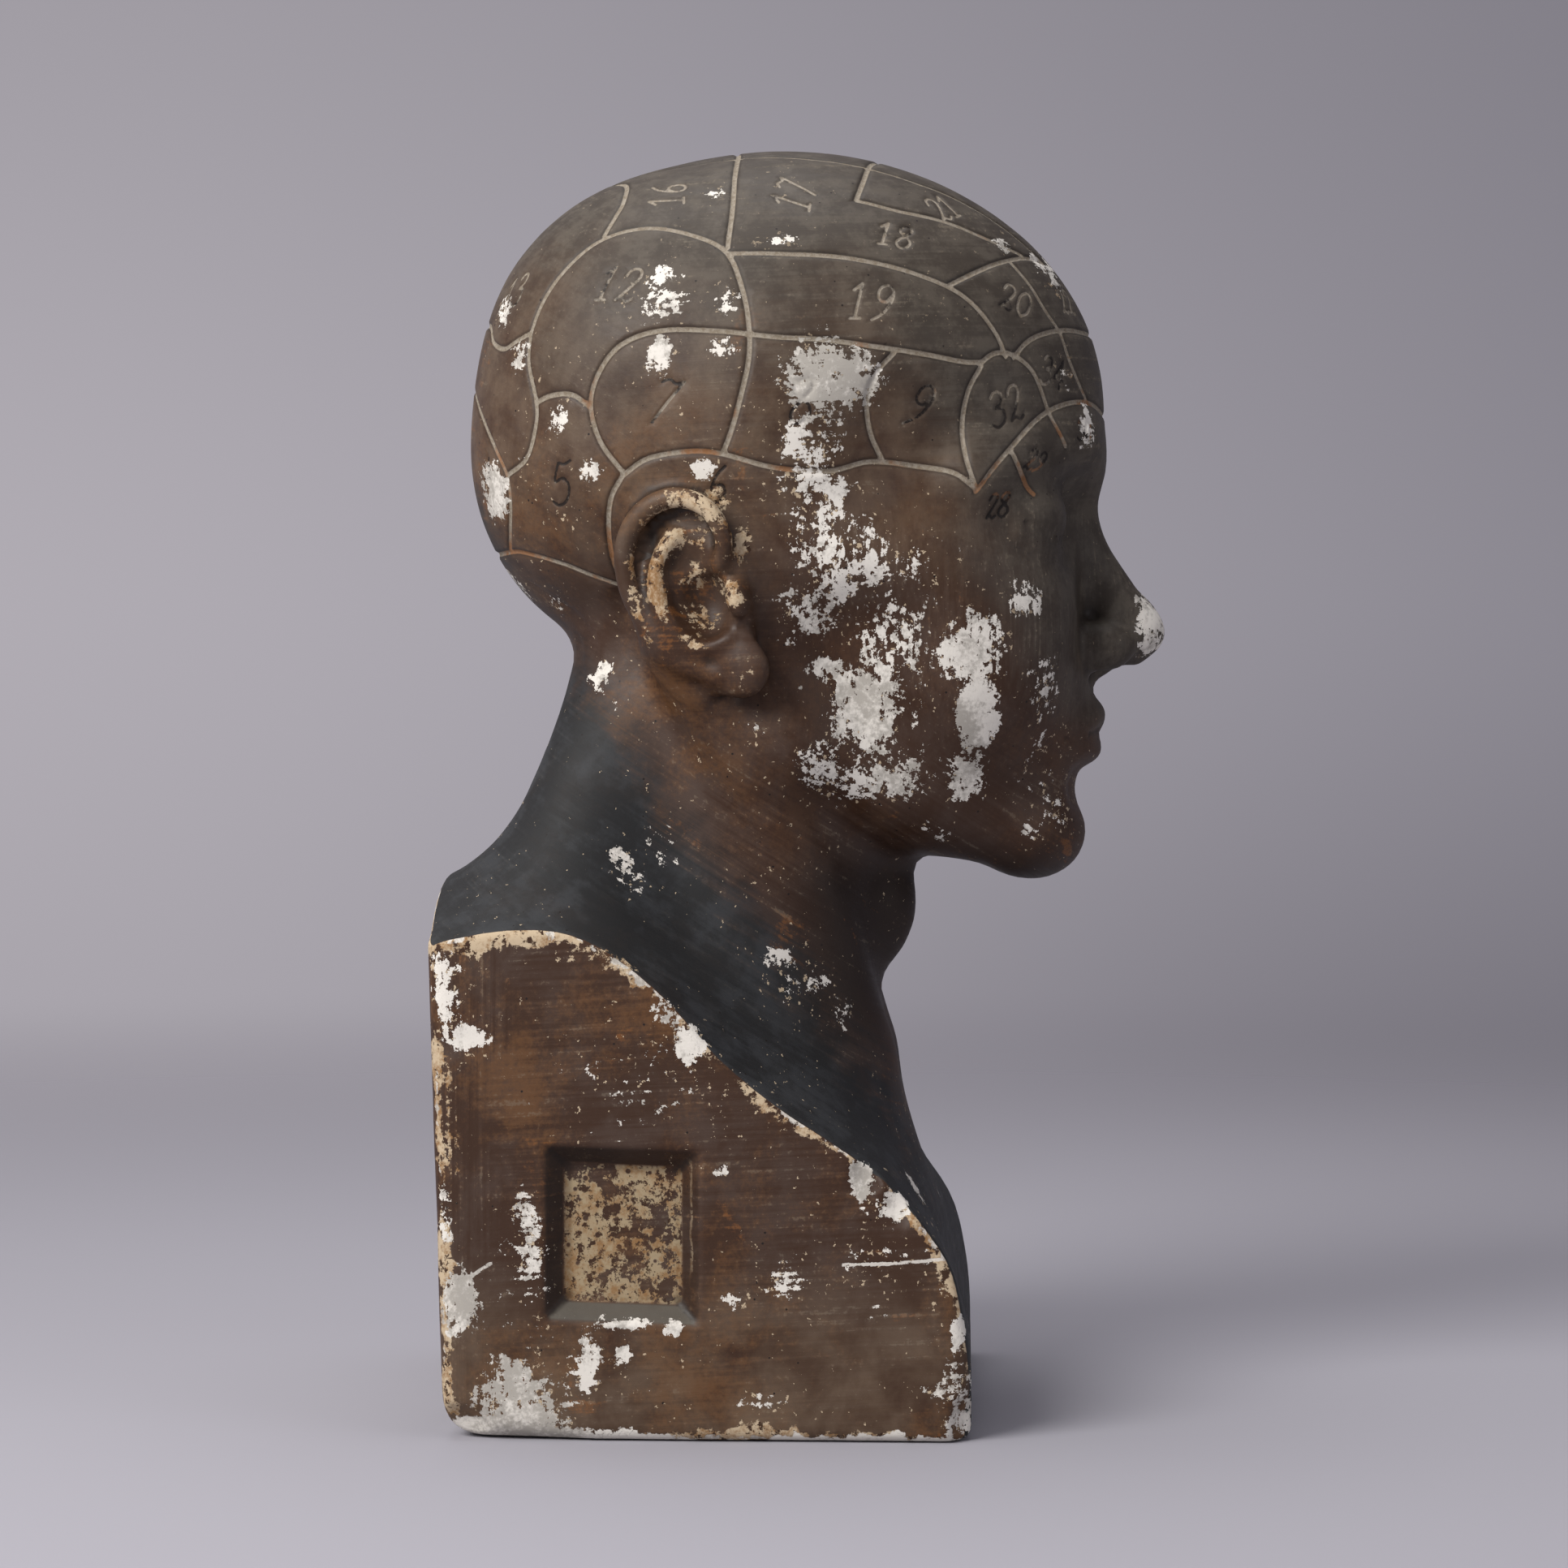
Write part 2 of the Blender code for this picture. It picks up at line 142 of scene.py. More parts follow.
def skull(q):
    x, y, z = q[:, 0], q[:, 1], q[:, 2]
    long = np.where(y < -12, 103.0, 96.5)
    high = np.where(z > 150, 82.0, 92.0)
    narrow = 1.0 + 0.07 * np.clip((-y - 10) / 90, 0, 1) - 0.02 * np.clip((y - 10) / 60, 0, 1)
    p = np.stack([x * narrow, (y + 12) / long * 100, (z - 150) / high * 82], axis=1)
    egg = lump(p, (0, 0, 0), (76, 100, 82))
    egg = merged(egg, lump(q, (0, 38, 128), (54, 43, 46)), 22)
    egg = merged(egg, lump(q, (0, 26, 168), (60, 51, 50)), 16)
    return hollowed(egg, lump(q, (86, -70, 130), (20, 30, 26)), 24)


def jaw(q):
    form = lump(q, (0, -50, 84), (58, 54, 62))
    form = merged(form, limb(q, (43, -10, 47), (53, -4, 98), 13, 12), 14)
    form = merged(form, limb(q, (43, -14, 45), (15, -83, 17), 13, 14), 18)
    form = merged(form, lump(q, (0, -48, 36), (40, 44, 28)), 16)
    form = merged(form, lump(q, (0, -78, 52), (31, 29, 32)), 16)
    form = merged(form, lump(q, (0, -90, 15), (19, 15, 14.5)), 12)
    arch = strand(q, [(30, -82, 92), (50, -62, 98), (60, -30, 101)], [11, 10, 7])
    form = merged(form, arch, 20)
    return merged(form, lump(q, (34, -68, 70), (20, 26, 28)), 18)


def eyes(q, form):  # brows, sockets and closed lids
    brow = strand(q, [(3, -98, 131), (24, -96.5, 136), (42, -83, 134), (52, -68, 127)], [9.5, 8.5, 7, 6])
    form = merged(form, brow, 14)
    form = hollowed(form, lump(q, (31, -109, 115), (19, 15, 12.5), turned(yaw=16)), 11)
    form = merged(form, lump(q, (32, -84.5, 114), (16.5, 14.0, 13.5), turned(yaw=12)), 5)
    under = [(18.5, -93, 107.5), (26, -94.5, 104), (33, -94, 103), (41, -90, 104.5), (48, -83, 109)]
    form = merged(form, strand(q, smoothPath(under), [1.8] * 17), 4)
    lash = [(17, -92, 111.5), (25, -95.8, 108.2), (32, -96.2, 106.9), (40, -93.2, 107.8), (48, -86, 111.5)]
    return hollowed(form, strand(q, smoothPath(lash), [1.1] * 17), 1.5)


def nose(q, form):
    bridge = strand(q, [(0, -94, 126), (0, -99, 116), (0, -107, 100), (0, -116, 85)], [8, 7, 8, 9])
    form = merged(form, bridge, 9)
    form = merged(form, lump(q, (0, -119.5, 79), (10.5, 11, 9.5)), 6)
    form = merged(form, lump(q, (10.5, -109.5, 74), (7.5, 11, 8)), 4)
    form = merged(form, limb(q, (0, -119, 72.5), (0, -106, 67.5), 4.5, 4.5), 4)
    return hollowed(form, lump(q, (7.2, -112, 64.5), (3.0, 6.0, 4.5), turned(yaw=-14)), 2)


def mouth(q, form):
    form = hollowed(form, limb(q, (0, -117, 64), (0, -118, 57), 3, 3), 4)
    upper = smoothPath([(0, -106.2, 51.2), (5, -106.6, 52.6), (13, -103.5, 50.4), (24, -93, 46.8)])
    lower = smoothPath([(0, -104.6, 41.6), (6, -104.2, 41.4), (14, -101, 42.4), (23, -93, 45.6)])
    form = merged(form, strand(q, upper, np.interp(np.arange(13), [0, 8, 12], [5.2, 4.2, 1.2])), 4)
    form = merged(form, strand(q, lower, np.interp(np.arange(13), [0, 8, 12], [5.8, 4.6, 1.4])), 4)
    seam = smoothPath([(0, -111.2, 46.4), (6, -110.8, 47.0), (15, -106, 46.0), (25.5, -95, 45.2)])
    form = hollowed(form, strand(q, seam, [0.9] * 13), 1.8)
    return hollowed(form, limb(q, (0, -111, 28.5), (12, -106, 29.5), 4.0, 3.0), 10)


earPlace = (66.5, 9.0, 90.0)
earAxes = turned(pitch=-15, yaw=20, roll=8)
earRim = smoothPath(
    [(2, 2, 0.5), (9, 7, 3), (13.5, 15, 4), (11, 25, 5), (2, 30.5, 5.5),
     (-9, 29, 6), (-17.5, 21, 6.5), (-20.5, 8, 6.5), (-18, -6, 5.5), (-11.5, -17, 4.5), (-3, -25, 3)]
)
earRimRadii = np.interp(np.arange(len(earRim)), [0, 8, 20, 32, 40], [2.0, 3.0, 3.6, 3.4, 3.0])


def earFrame(q):  # forward, up and outward from the ear's middle
    p = (q - np.array(earPlace)) @ earAxes
    return np.stack([-p[:, 1], p[:, 2], p[:, 0]], axis=1)


def ear(q, form):
    e = earFrame(q)
    shape = lump(e, (-3, 3, -1.0), (17, 28, 4.5))
    shape = merged(shape, lump(e, (0, 0, -10), (14, 22, 12)), 8)
    shape = merged(shape, lump(e, (5, -25, 1.0), (9.5, 9.5, 5.0)), 6)
    shape = merged(shape, strand(e, earRim, earRimRadii), 3)
    fold = smoothPath([(3, -14, 3), (-4, -15, 4), (-10, -8, 5), (-12, 2, 5.5), (-9.5, 12, 5), (-3, 19, 3)])
    shape = merged(shape, strand(e, fold, np.interp(np.arange(21), [0, 10, 20], [3.0, 3.8, 3.0])), 3.5)
    form = merged(form, shape, 5)
    form = hollowed(form, lump(e, (1, -3, 6), (8.5, 10.5, 9.5)), 4)
    form = hollowed(form, lump(e, (0, 10, 7), (5.5, 5.0, 5.5)), 4)
    return merged(form, lump(e, (11.5, -4.5, 3), (3.6, 6.0, 4.0)), 3)


def head(q):
    q = q.copy()
    q[:, 0] = np.sqrt(q[:, 0] ** 2 + 0.25)
    face = q + np.array((0.0, castSizes["faceAhead"], 0.0))
    form = merged(skull(q), jaw(face), 16)
    for feature, low, high in (
        (eyes, (-1, -140, 85), (72, -50, 156)),
        (nose, (-1, -150, 50), (32, -80, 145)),
        (mouth, (-1, -140, 12), (42, -75, 78)),
    ):
        near = within(face, low, high)
        form[near] = feature(face[near], form[near])
    near = within(q, (36, -40, 35), (120, 65, 145))
    form[near] = ear(q[near], form[near])
    return form


def neck(q):
    q = q.copy()
    q[:, 0] = np.abs(q[:, 0])
    form = limb(q, (0, 2, 70), (0, 12, -60), 50, 54)
    form = merged(form, limb(q, (20, 33, 68), (42, 54, -14), 16, 28), 16)
    strap = smoothPath([(56, 20, 74), (47, -6, 30), (32, -27, -12), (14, -37, -52)])
    form = merged(form, strand(q, strap, np.interp(np.arange(13), [0, 12], [9, 7])), 10)
    return merged(form, lump(q, (0, -42, -7), (13, 13.5, 20)), 10)


def profile(points, outline):  # distance in the side plane to a closed outline
    yz = points[:, 1:]
    best = np.full(len(yz), np.inf)
    inside = np.zeros(len(yz), bool)
    for a, b in zip(outline, np.roll(outline, -1, axis=0)):
        along = b - a
        rel = yz - a
        share = np.clip(rel @ along / (along @ along), 0, 1)
        gap = rel - share[:, None] * along
        best = np.minimum(best, np.einsum("ij,ij->i", gap, gap))
        crosses = (a[1] > yz[:, 1]) != (b[1] > yz[:, 1])
        rise = b[1] - a[1] if abs(b[1] - a[1]) > 1e-12 else 1e-12
        inside ^= crosses & (yz[:, 0] < (yz[:, 1] - a[1]) / rise * along[0] + a[0])
    return np.where(inside, -1.0, 1.0) * np.sqrt(best)


# the shoulder line at the flat side and at the middle, in shares of the base's depth and shoulder height
shoulderLines = {
    "side": [
        (-0.06, 0.955), (0.0, 0.975), (0.10, 0.995), (0.18, 1.0), (0.27, 0.99),
        (0.36, 0.945), (0.45, 0.865), (0.54, 0.755), (0.64, 0.665), (0.74, 0.595),
        (0.84, 0.52), (0.92, 0.42), (0.97, 0.33), (1.0, 0.2), (1.02, 0.1),
    ],
    "middle": [
        (-0.06, 1.07), (0.0, 1.09), (0.2, 1.09), (0.45, 1.0), (0.65, 0.83), (0.76, 0.74), (0.825, 0.65),
        (0.88, 0.55), (0.92, 0.46), (0.95, 0.36), (0.975, 0.26), (1.0, 0.16), (1.02, 0.05),
    ],
}
back, high, deep = castSizes["baseDepth"] / 2, castSizes["shoulderHeight"], castSizes["baseDepth"]
torsoOutlines = []
for top in shoulderLines.values():
    curve = smoothPath(top, 3) * np.array((-deep, high)) + np.array((back, 0.0))
    below = [(curve[-1][0], -stock), (back + stock, -stock), (back + stock, curve[0][1])]
    torsoOutlines.append(np.vstack([curve, below]))


def torso(points):
    across = np.abs(points[:, 0])
    share = np.clip(across / (castSizes["baseWidth"] / 2), 0, 1) ** 2
    side, middle = (profile(points, outline) for outline in torsoOutlines)
    return np.maximum(side * share + middle * (1 - share), across - castSizes["baseWidth"] / 2 - stock)


def toParts(points):
    return (points - headOrigin) / part


def toMetres(points):
    return np.array(points, float) * part + headOrigin


def freeForm(points):
    q = toParts(points)
    form = head(q)
    low = q[:, 2] < 130
    form[low] = merged(form[low], neck(q[low]), 10)
    form *= part
    low = q[:, 2] < 75
    form[low] = merged(form[low], torso(points[low]), 0.030)
    return form


blockTop = max(
    castSizes["chinAboveFoot"] + 0.07 * castSizes["headHeight"], 1.15 * castSizes["shoulderHeight"]
)
underJaw = castSizes["chinAboveFoot"] - 0.06 * castSizes["headHeight"]

# where the block has been knocked: centre and radii of each bite, in parts
knocks = [
    ((-91, -41, -86), (3.2, 5.0, 8.5)),
    ((-91, -50.5, -95), (3.0, 5.5, 6.5)),
    ((-91, -75, -160), (8, 9, 11)),
    ((-92, 84, -46), (3.0, 7, 3.5)),
    ((-91, 84, -163), (7, 13, 8)),
    ((-91, -73, -131), (2.5, 4, 6)),
    ((92, 60, -12), (4, 8, 5)),
    ((91, -48, -93), (4, 6, 6)),
    ((91, 86, -120), (4, 5, 12)),
    ((90, -74, -163), (7, 8, 8)),
    ((20, -76, -167), (14, 4, 3)),
    ((-40, 82, -167), (12, 5, 4)),
]


def blockFaces(points):  # distances to the block's flat faces
    x, y, z = points.T
    wide, deep = castSizes["baseWidth"], castSizes["baseDepth"]
    side = np.abs(x) - wide / 2
    rear = y - deep / 2 + castSizes["backLean"] * np.clip(1 - z / blockTop, 0, 1)
    rear = rear - 2 * np.maximum(z - blockTop + stock, 0)
    front = -y - deep / 2 - 4 * np.maximum(z - underJaw, 0)
    return side, rear, front, -z


def panelGap(points):  # distance to the sunk label panel
    x, y, z = points.T
    inward = x + castSizes["baseWidth"] / 2
    lean = 1 / math.sqrt(1 + panelSizes["slope"] ** 2)
    tilt = 0.035 * (y - castSizes["baseDepth"] / 2 + panelSizes["fromBack"])
    across = np.abs(y - castSizes["baseDepth"] / 2 + panelSizes["fromBack"]) - panelSizes["width"] / 2
    upward = np.abs(z - tilt - panelSizes["fromFoot"]) - panelSizes["height"] / 2
    walls = common(across, upward, 0.0015) + panelSizes["slope"] * inward
    return common(walls * lean, inward - panelSizes["depth"], 0.0012)


def wholeForm(points):
    form = freeForm(points)
    low = points[:, 2] < blockTop
    p = points[low]
    side, rear, front, foot = blockFaces(p)
    block = common(common(side, rear, castSizes["cornerRound"]), front, castSizes["cornerRound"])
    heel = np.clip((p[:, 1] - 0.03) / 0.05, 0, 1) * np.clip(0.6 - p[:, 0] / 0.12, 0, 1)
    block = common(block, foot, castSizes["footRound"] + 0.010 * heel)
    solid = common(form[low], block, castSizes["wornEdge"])
    reach = 0.03
    near = within(p, (-1, -0.05, 0.02), (-castSizes["baseWidth"] / 2 + reach, 0.075, 0.105))
    solid[near] = hollowed(solid[near], panelGap(p[near]), panelSizes["softRim"])
    q = toParts(p)
    for centre, radii in knocks:
        spread = np.array(radii) + 6
        near = within(q, np.array(centre) - spread, np.array(centre) + spread)
        solid[near] = hollowed(solid[near], lump(q[near], centre, radii) * part, 0.0014)
    form[low] = solid
    return form


def formSlope(points, form=wholeForm):
    step = 2e-5
    value = form(points)
    slope = np.stack([(form(points + step * axis) - value) / step for axis in np.eye(3)], axis=1)
    return value, slope


def dropped(points, rounds=4, most=0.004, form=wholeForm):  # points moved onto the form
    points = np.array(points, float)
    for _ in range(rounds):
        value, slope = formSlope(points, form)
        move = value[:, None] * slope / np.maximum((slope**2).sum(axis=1), 0.1)[:, None]
        length = np.linalg.norm(move, axis=1, keepdims=True)
        points -= move * np.minimum(1.0, most / np.maximum(length, 1e-9))
    return points


# the scribed regions and their numerals, in parts of the head; each is cut on both sides

lineCut = {"halfWidth": 0.00105, "depth": 0.0008}
numeralCut = {"halfWidth": 0.00062, "depth": 0.0005, "slant": 0.22}

regionLines = [
    [(9, 41, 219), (15, 29, 224), (21, 12, 226), (23, -12, 226), (23, -36, 223), (22, -56, 217),
     (18, -74, 209), (14, -94, 194)],
    [(0, 3, 232), (18, 1, 230), (41, 1, 218), (52, 1, 208), (62, 2, 196)],
    [(9, 41, 219), (24, 36, 219), (37, 36, 213), (43, 38, 207), (48, 41, 201)],
    [(0, -44, 227), (18, -41, 226), (35, -39, 219), (45, -37, 212)],
    [(45, -37, 212), (43, -51, 209), (38, -64, 206), (32, -78, 201), (25, -89, 197)],
    [(48, 64, 171), (48, 60, 181), (48, 51, 192), (49, 41, 200), (52, 27, 203), (58, 12, 200),
     (63, 2, 194), (70, -3, 182), (74, -5, 171), (76, -5, 161), (76, -3, 151), (75, 0, 140),
     (74, 3, 132)],
    [(48, 64, 171), (50, 65, 162), (53, 62, 150), (53, 62, 142), (50, 65, 132), (42, 72, 127)],
    [(0, 88, 178), (19, 82, 176), (28, 79, 170), (37, 74, 167), (43, 69, 169), (48, 64, 171)],
    [(63, 2, 194), (64, -14, 194), (62, -34, 193), (58, -54, 189), (53, -70, 182), (51, -80, 171),
     (50, -83, 163)],
    [(54, -66, 185), (47, -73, 189), (37, -81, 193), (24, -90, 196), (14, -94, 194)],
    [(66, 34, 127), (64, 41, 137), (64, 44, 148), (65, 41, 158), (67, 34, 166), (70, 22, 170),
     (74, 5, 170), (75, -12, 168), (73, -28, 167), (69, -43, 165), (64, -58, 163), (59, -70, 161),
     (56, -76, 161)],
    [(53, 62, 149), (57, 57, 151), (61, 50, 151), (64, 44, 147)],
    [(66, 34, 126), (69, 26, 131), (72, 13, 133), (74, 3, 132), (74, -12, 128), (70, -29, 127),
     (66, -42, 130), (60, -56, 129), (60, -67, 127), (59, -74, 122)],
    [(66, 34, 126), (64, 38, 119), (60, 39, 110), (55, 38, 100), (51, 35, 91)],
    [(0, 79, 104), (29, 73, 103), (39, 65, 102), (46, 55, 99), (49, 45, 95), (51, 35, 91)],
    [(8, 87, 156), (20, 84, 151), (31, 80, 143), (38, 76, 135), (42, 72, 127), (41, 72, 118),
     (36, 73, 110), (29, 73, 104)],
    [(67, -49, 163), (69, -44, 157), (69, -41, 149), (67, -42, 139), (64, -46, 130)],
    [(56, -76, 160), (58, -72, 152), (58, -70, 141), (59, -71, 131), (59, -74, 122)],
    [(56, -76, 161), (53, -80, 164), (49, -85, 164), (45, -91, 160), (43, -95, 153), (42, -98, 145),
     (39, -102, 136)],
    [(49, -86, 163), (44, -90, 168), (38, -95, 171), (28, -102, 173), (15, -108, 173), (0, -111, 173)],
    [(33, -85, 194), (33, -91, 187), (33, -96, 179), (31, -101, 172), (30, -104, 162), (25, -109, 151)],
    [(59, -74, 121), (57, -79, 128), (54, -85, 135), (49, -91, 142), (42, -97, 147), (33, -104, 150),
     (22, -109, 150), (10, -112, 148), (0, -113, 147)],
    [(54, -85, 134), (52, -88, 128), (49, -90, 124), (46, -92, 121)],
    [(0, 86, 156), (8, 87, 156)],
]

# soft folds of skin at the nape
foldCut = {"halfWidth": 0.0022, "depth": 0.0009}
napeFolds = [
    [(26, 66, 92), (34, 57, 80), (41, 46, 68)],
    [(50, 38, 88), (47, 40, 78), (42, 44, 68)],
    [(30, 60, 74), (37, 51, 64), (43, 42, 56)],
    [(51, 33, 76), (48, 36, 66), (44, 41, 57)],
]

digitStrokes = {
    "0": [[(0.26, 0.0), (0.06, 0.25), (0.07, 0.75), (0.30, 1.0), (0.50, 0.75), (0.47, 0.25), (0.26, 0.0)]],
    "1": [[(0.04, 0.78), (0.24, 1.0)], [(0.24, 1.0), (0.22, 0.5), (0.22, 0.02)], [(0.08, 0.0), (0.36, 0.02)]],
    "2": [[(0.05, 0.76), (0.14, 0.97), (0.36, 0.98), (0.46, 0.76), (0.32, 0.42), (0.06, 0.04)],
          [(0.06, 0.04), (0.22, 0.11), (0.38, 0.0), (0.52, 0.09)]],
    "3": [[(0.07, 0.86), (0.20, 1.0), (0.42, 0.93), (0.42, 0.68), (0.22, 0.55)],
          [(0.22, 0.55), (0.46, 0.45), (0.46, 0.14), (0.22, 0.0), (0.04, 0.12)]],
    "4": [[(0.36, 0.0), (0.36, 1.0)], [(0.36, 1.0), (0.02, 0.32)], [(0.02, 0.32), (0.54, 0.32)]],
    "5": [[(0.14, 0.98), (0.30, 0.93), (0.48, 1.0)],
          [(0.14, 0.98), (0.08, 0.56), (0.30, 0.62), (0.48, 0.42), (0.42, 0.10), (0.20, 0.0), (0.03, 0.10)]],
    "6": [[(0.46, 0.97), (0.22, 0.76), (0.07, 0.40), (0.10, 0.08), (0.30, 0.0), (0.46, 0.16), (0.42, 0.42),
           (0.24, 0.48), (0.08, 0.32)]],
    "7": [[(0.03, 0.92), (0.18, 1.0), (0.35, 0.93), (0.52, 1.0)], [(0.52, 1.0), (0.32, 0.5), (0.14, 0.0)]],
    "8": [[(0.28, 0.54), (0.08, 0.72), (0.14, 0.95), (0.36, 0.99), (0.46, 0.80), (0.28, 0.54), (0.06, 0.28),
           (0.12, 0.04), (0.34, 0.0), (0.49, 0.20), (0.44, 0.40), (0.28, 0.54)]],
    "9": [[(0.46, 0.74), (0.30, 0.52), (0.10, 0.62), (0.10, 0.88), (0.28, 1.0), (0.46, 0.86), (0.46, 0.55),
           (0.30, 0.20), (0.05, 0.0)]],
}

# number, place, height in parts, and turn as seen from its own side
numerals = [
    ("16", (40, 22, 215), 11.5, 88), ("17", (46, -18, 214), 12.5, 80), ("21", (31, -64, 211), 10.5, 58),
    ("18", (52, -50, 201), 9.5, -12), ("19", (66, -43, 179), 12.0, -4),
    ("20", (41, -87, 181), 10.0, -22), ("12", (62, 35, 185), 11.5, -6), ("7", (72, 20, 148), 14.0, -10),
    ("8", (75, -22, 148), 13.5, 2), ("9", (63, -58, 147), 13.0, -12), ("32", (52, -84, 148), 10.5, 20),
    ("34", (38, -99, 159), 9.5, -10), ("5", (58, 53, 124), 13.5, 4), ("6", (72, 4, 123), 11.0, 8),
    ("28", (53, -82, 117), 7.5, 8), ("29", (48, -93, 131), 7.0, -12), ("22", (18, -103, 183), 9.0, 0),
    ("30", (30, -107, 141), 6.5, 0), ("4", (31, 78, 128), 11.0, 0), ("13", (33, 72, 186), 11.0, 10),
]
middleNumerals = [("14", (0, -20, 231), 12.0), ("15", (0, 22, 230), 12.0), ("3", (0, 86, 135), 12.0)]


def droppedPaths(paths, rounds=4):  # all paths moved onto the form in one go
    ends = np.cumsum([len(path) for path in paths])[:-1]
    return np.split(dropped(np.vstack(paths), rounds), ends)


def bothSides(paths):
    found = []
    for path in paths:
        for side in (-1, 1):
            found.append(toMetres(smoothPath(np.array(path, float) * np.array((side, 1, 1)), 6)))
    return found


def numeralPaths():
    found = []
    placed = [(text, np.array(at) * np.array((side, 1, 1)), height, turn, side)
              for text, at, height, turn in numerals for side in (-1, 1)]
    placed += [(text, np.array(at), height, 0, 0) for text, at, height in middleNumerals]
    spots = dropped(toMetres([at for text, at, height, turn, side in placed]))
    slopes = formSlope(spots)[1]
    for (text, at, height, turn, side), spot, out in zip(placed, spots, slopes):
        out = out / np.linalg.norm(out)
        upright = np.array((0.0, 0.0, 1.0)) if side or at[2] < 200 else np.array((0.0, 1.0, 0.0))
        if side and abs(out[2]) > 0.75:
            upright = np.array((-side * 0.9, 0.0, 0.5))  # on the crown they read from the side
        up = upright - out * (upright @ out)
        up /= np.linalg.norm(up)
        right = np.cross(up, out)
        angle = math.radians(turn)
        rise = up * math.cos(angle) - right * math.sin(angle)
        ahead = right * math.cos(angle) + up * math.sin(angle)
        tall = height * part
        wide = 0.62 * tall
        start = -0.5 * wide * len(text)
        for i, digit in enumerate(text):
            for stroke in digitStrokes[digit]:
                s = smoothPath(stroke, 5) if len(stroke) > 2 else np.array(stroke, float)
                level = (s[:, 1] - 0.5) * tall
                along = start + i * wide + s[:, 0] * tall + level * numeralCut["slant"]
                path = spot + along[:, None] * ahead + level[:, None] * rise
                found.append(path)
    return found


scratches = [
    [(-90, -34, -112), (-90, -48, -111.6), (-90, -66, -110)],
    [(-90, 84, -121), (-90, 78, -116), (-90, 72, -112)],
]

linePaths = droppedPaths(bothSides(regionLines))
numberPaths = droppedPaths(numeralPaths(), 3)
foldPaths = droppedPaths(bothSides(napeFolds))
scratchPaths = [toMetres(path) for path in scratches]
print("lines and numerals laid out:", len(linePaths), len(numberPaths))


def pathGap(points, paths, reach):  # distance to the nearest path, up to a reach
    gap = np.full(len(points), reach)
    for path in paths:
        near = np.flatnonzero(within(points, path.min(axis=0) - reach, path.max(axis=0) + reach))
        if len(near):
            gap[near] = np.minimum(gap[near], strand(points[near], path, [0.0] * len(path)))
    return gap


# the skin: the solid's surface made even, drawn onto the form and cut finer for detail

skinSteps = {"even": 0.0032, "feature": 0.0018, "line": 0.0010, "numeral": 0.00085}


def coordinates(bm):
    return np.array([v.co for v in bm.verts], float)


def setPlaces(bm, points):
    for vertex, point in zip(bm.verts, points):
        vertex.co = point


def newPiece(name, bm):
    mesh = bpy.data.meshes.new(name)
    bm.to_mesh(mesh)
    bm.free()
    thing = bpy.data.objects.new(name, mesh)
    scene.collection.objects.link(thing)
    return thing


def evenSkin():
    bm = bmesh.new()
    bm.from_mesh(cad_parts["bust"].data)
    bmesh.ops.remove_doubles(bm, verts=bm.verts, dist=1e-6)
    rough = newPiece("roughSkin", bm)
    remesh = rough.modifiers.new("Even", "REMESH")
    remesh.mode = "VOXEL"
    remesh.voxel_size = skinSteps["even"]
    skin = bmesh.new()
    skin.from_object(rough, bpy.context.evaluated_depsgraph_get())
    bpy.data.objects.remove(rough, do_unlink=True)
    return skin


def relax(bm, rounds, factor=0.5):
    for _ in range(rounds):
        bmesh.ops.smooth_vert(
            bm, verts=bm.verts, factor=factor, use_axis_x=True, use_axis_y=True, use_axis_z=True
        )


def settle(bm, rounds, only=None):
    points = coordinates(bm)
    if only is None:
        only = np.ones(len(points), bool)
    points[only] = dropped(points[only], rounds, 0.003)
    setPlaces(bm, points)


def edgeGap(points):  # how far a point of the surface is from the block's nearest edge
    faces = np.stack([freeForm(points), *blockFaces(points)], axis=1)
    faces.sort(axis=1)
    return -faces[:, -2]


def wantedStep(points):
    step = np.full(len(points), 1.0)
    q = toParts(points)
    q[:, 0] = np.abs(q[:, 0])
    for low, high in (
        ((52, -20, 55), (95, 45, 130)),  # ear
        ((0, -140, 95), (60, -75, 130)),  # eyes
        ((0, -150, 55), (26, -100, 100)),  # nose
        ((0, -130, 25), (38, -85, 62)),  # mouth
    ):
        step[within(q, low, high)] = skinSteps["feature"]
    low = points[:, 2] < blockTop
    gap = np.ones(len(points))
    gap[low] = edgeGap(points[low])
    step[gap < 0.005] = skinSteps["feature"]
    low = within(points, (-1, -0.004, 0.033), (-castSizes["baseWidth"] / 2 + 0.01, 0.049, 0.092))
    step[low] = np.minimum(step[low], 0.7 * skinSteps["feature"])
    step[pathGap(points, linePaths, 0.004) < 0.0026] = skinSteps["line"]
    step[pathGap(points, numberPaths, 0.003) < 0.0014] = skinSteps["numeral"]
    near = pathGap(points, scratchPaths, 0.004) < 0.002
    step[near] = np.minimum(step[near], skinSteps["line"])
    return step


def cutFiner(bm, rounds):
    for _ in range(rounds):
        bm.verts.index_update()
        points = coordinates(bm)
        ends = np.array([(edge.verts[0].index, edge.verts[1].index) for edge in bm.edges])
        a, b = points[ends[:, 0]], points[ends[:, 1]]
        tooLong = np.linalg.norm(a - b, axis=1) > 1.25 * wantedStep((a + b) / 2)
        chosen = [edge for edge, cut in zip(bm.edges, tooLong) if cut]
        if not chosen:
            break
        bmesh.ops.subdivide_edges(bm, edges=chosen, cuts=1, use_grid_fill=True)
        bmesh.ops.triangulate(bm, faces=bm.faces, quad_method="BEAUTY", ngon_method="BEAUTY")


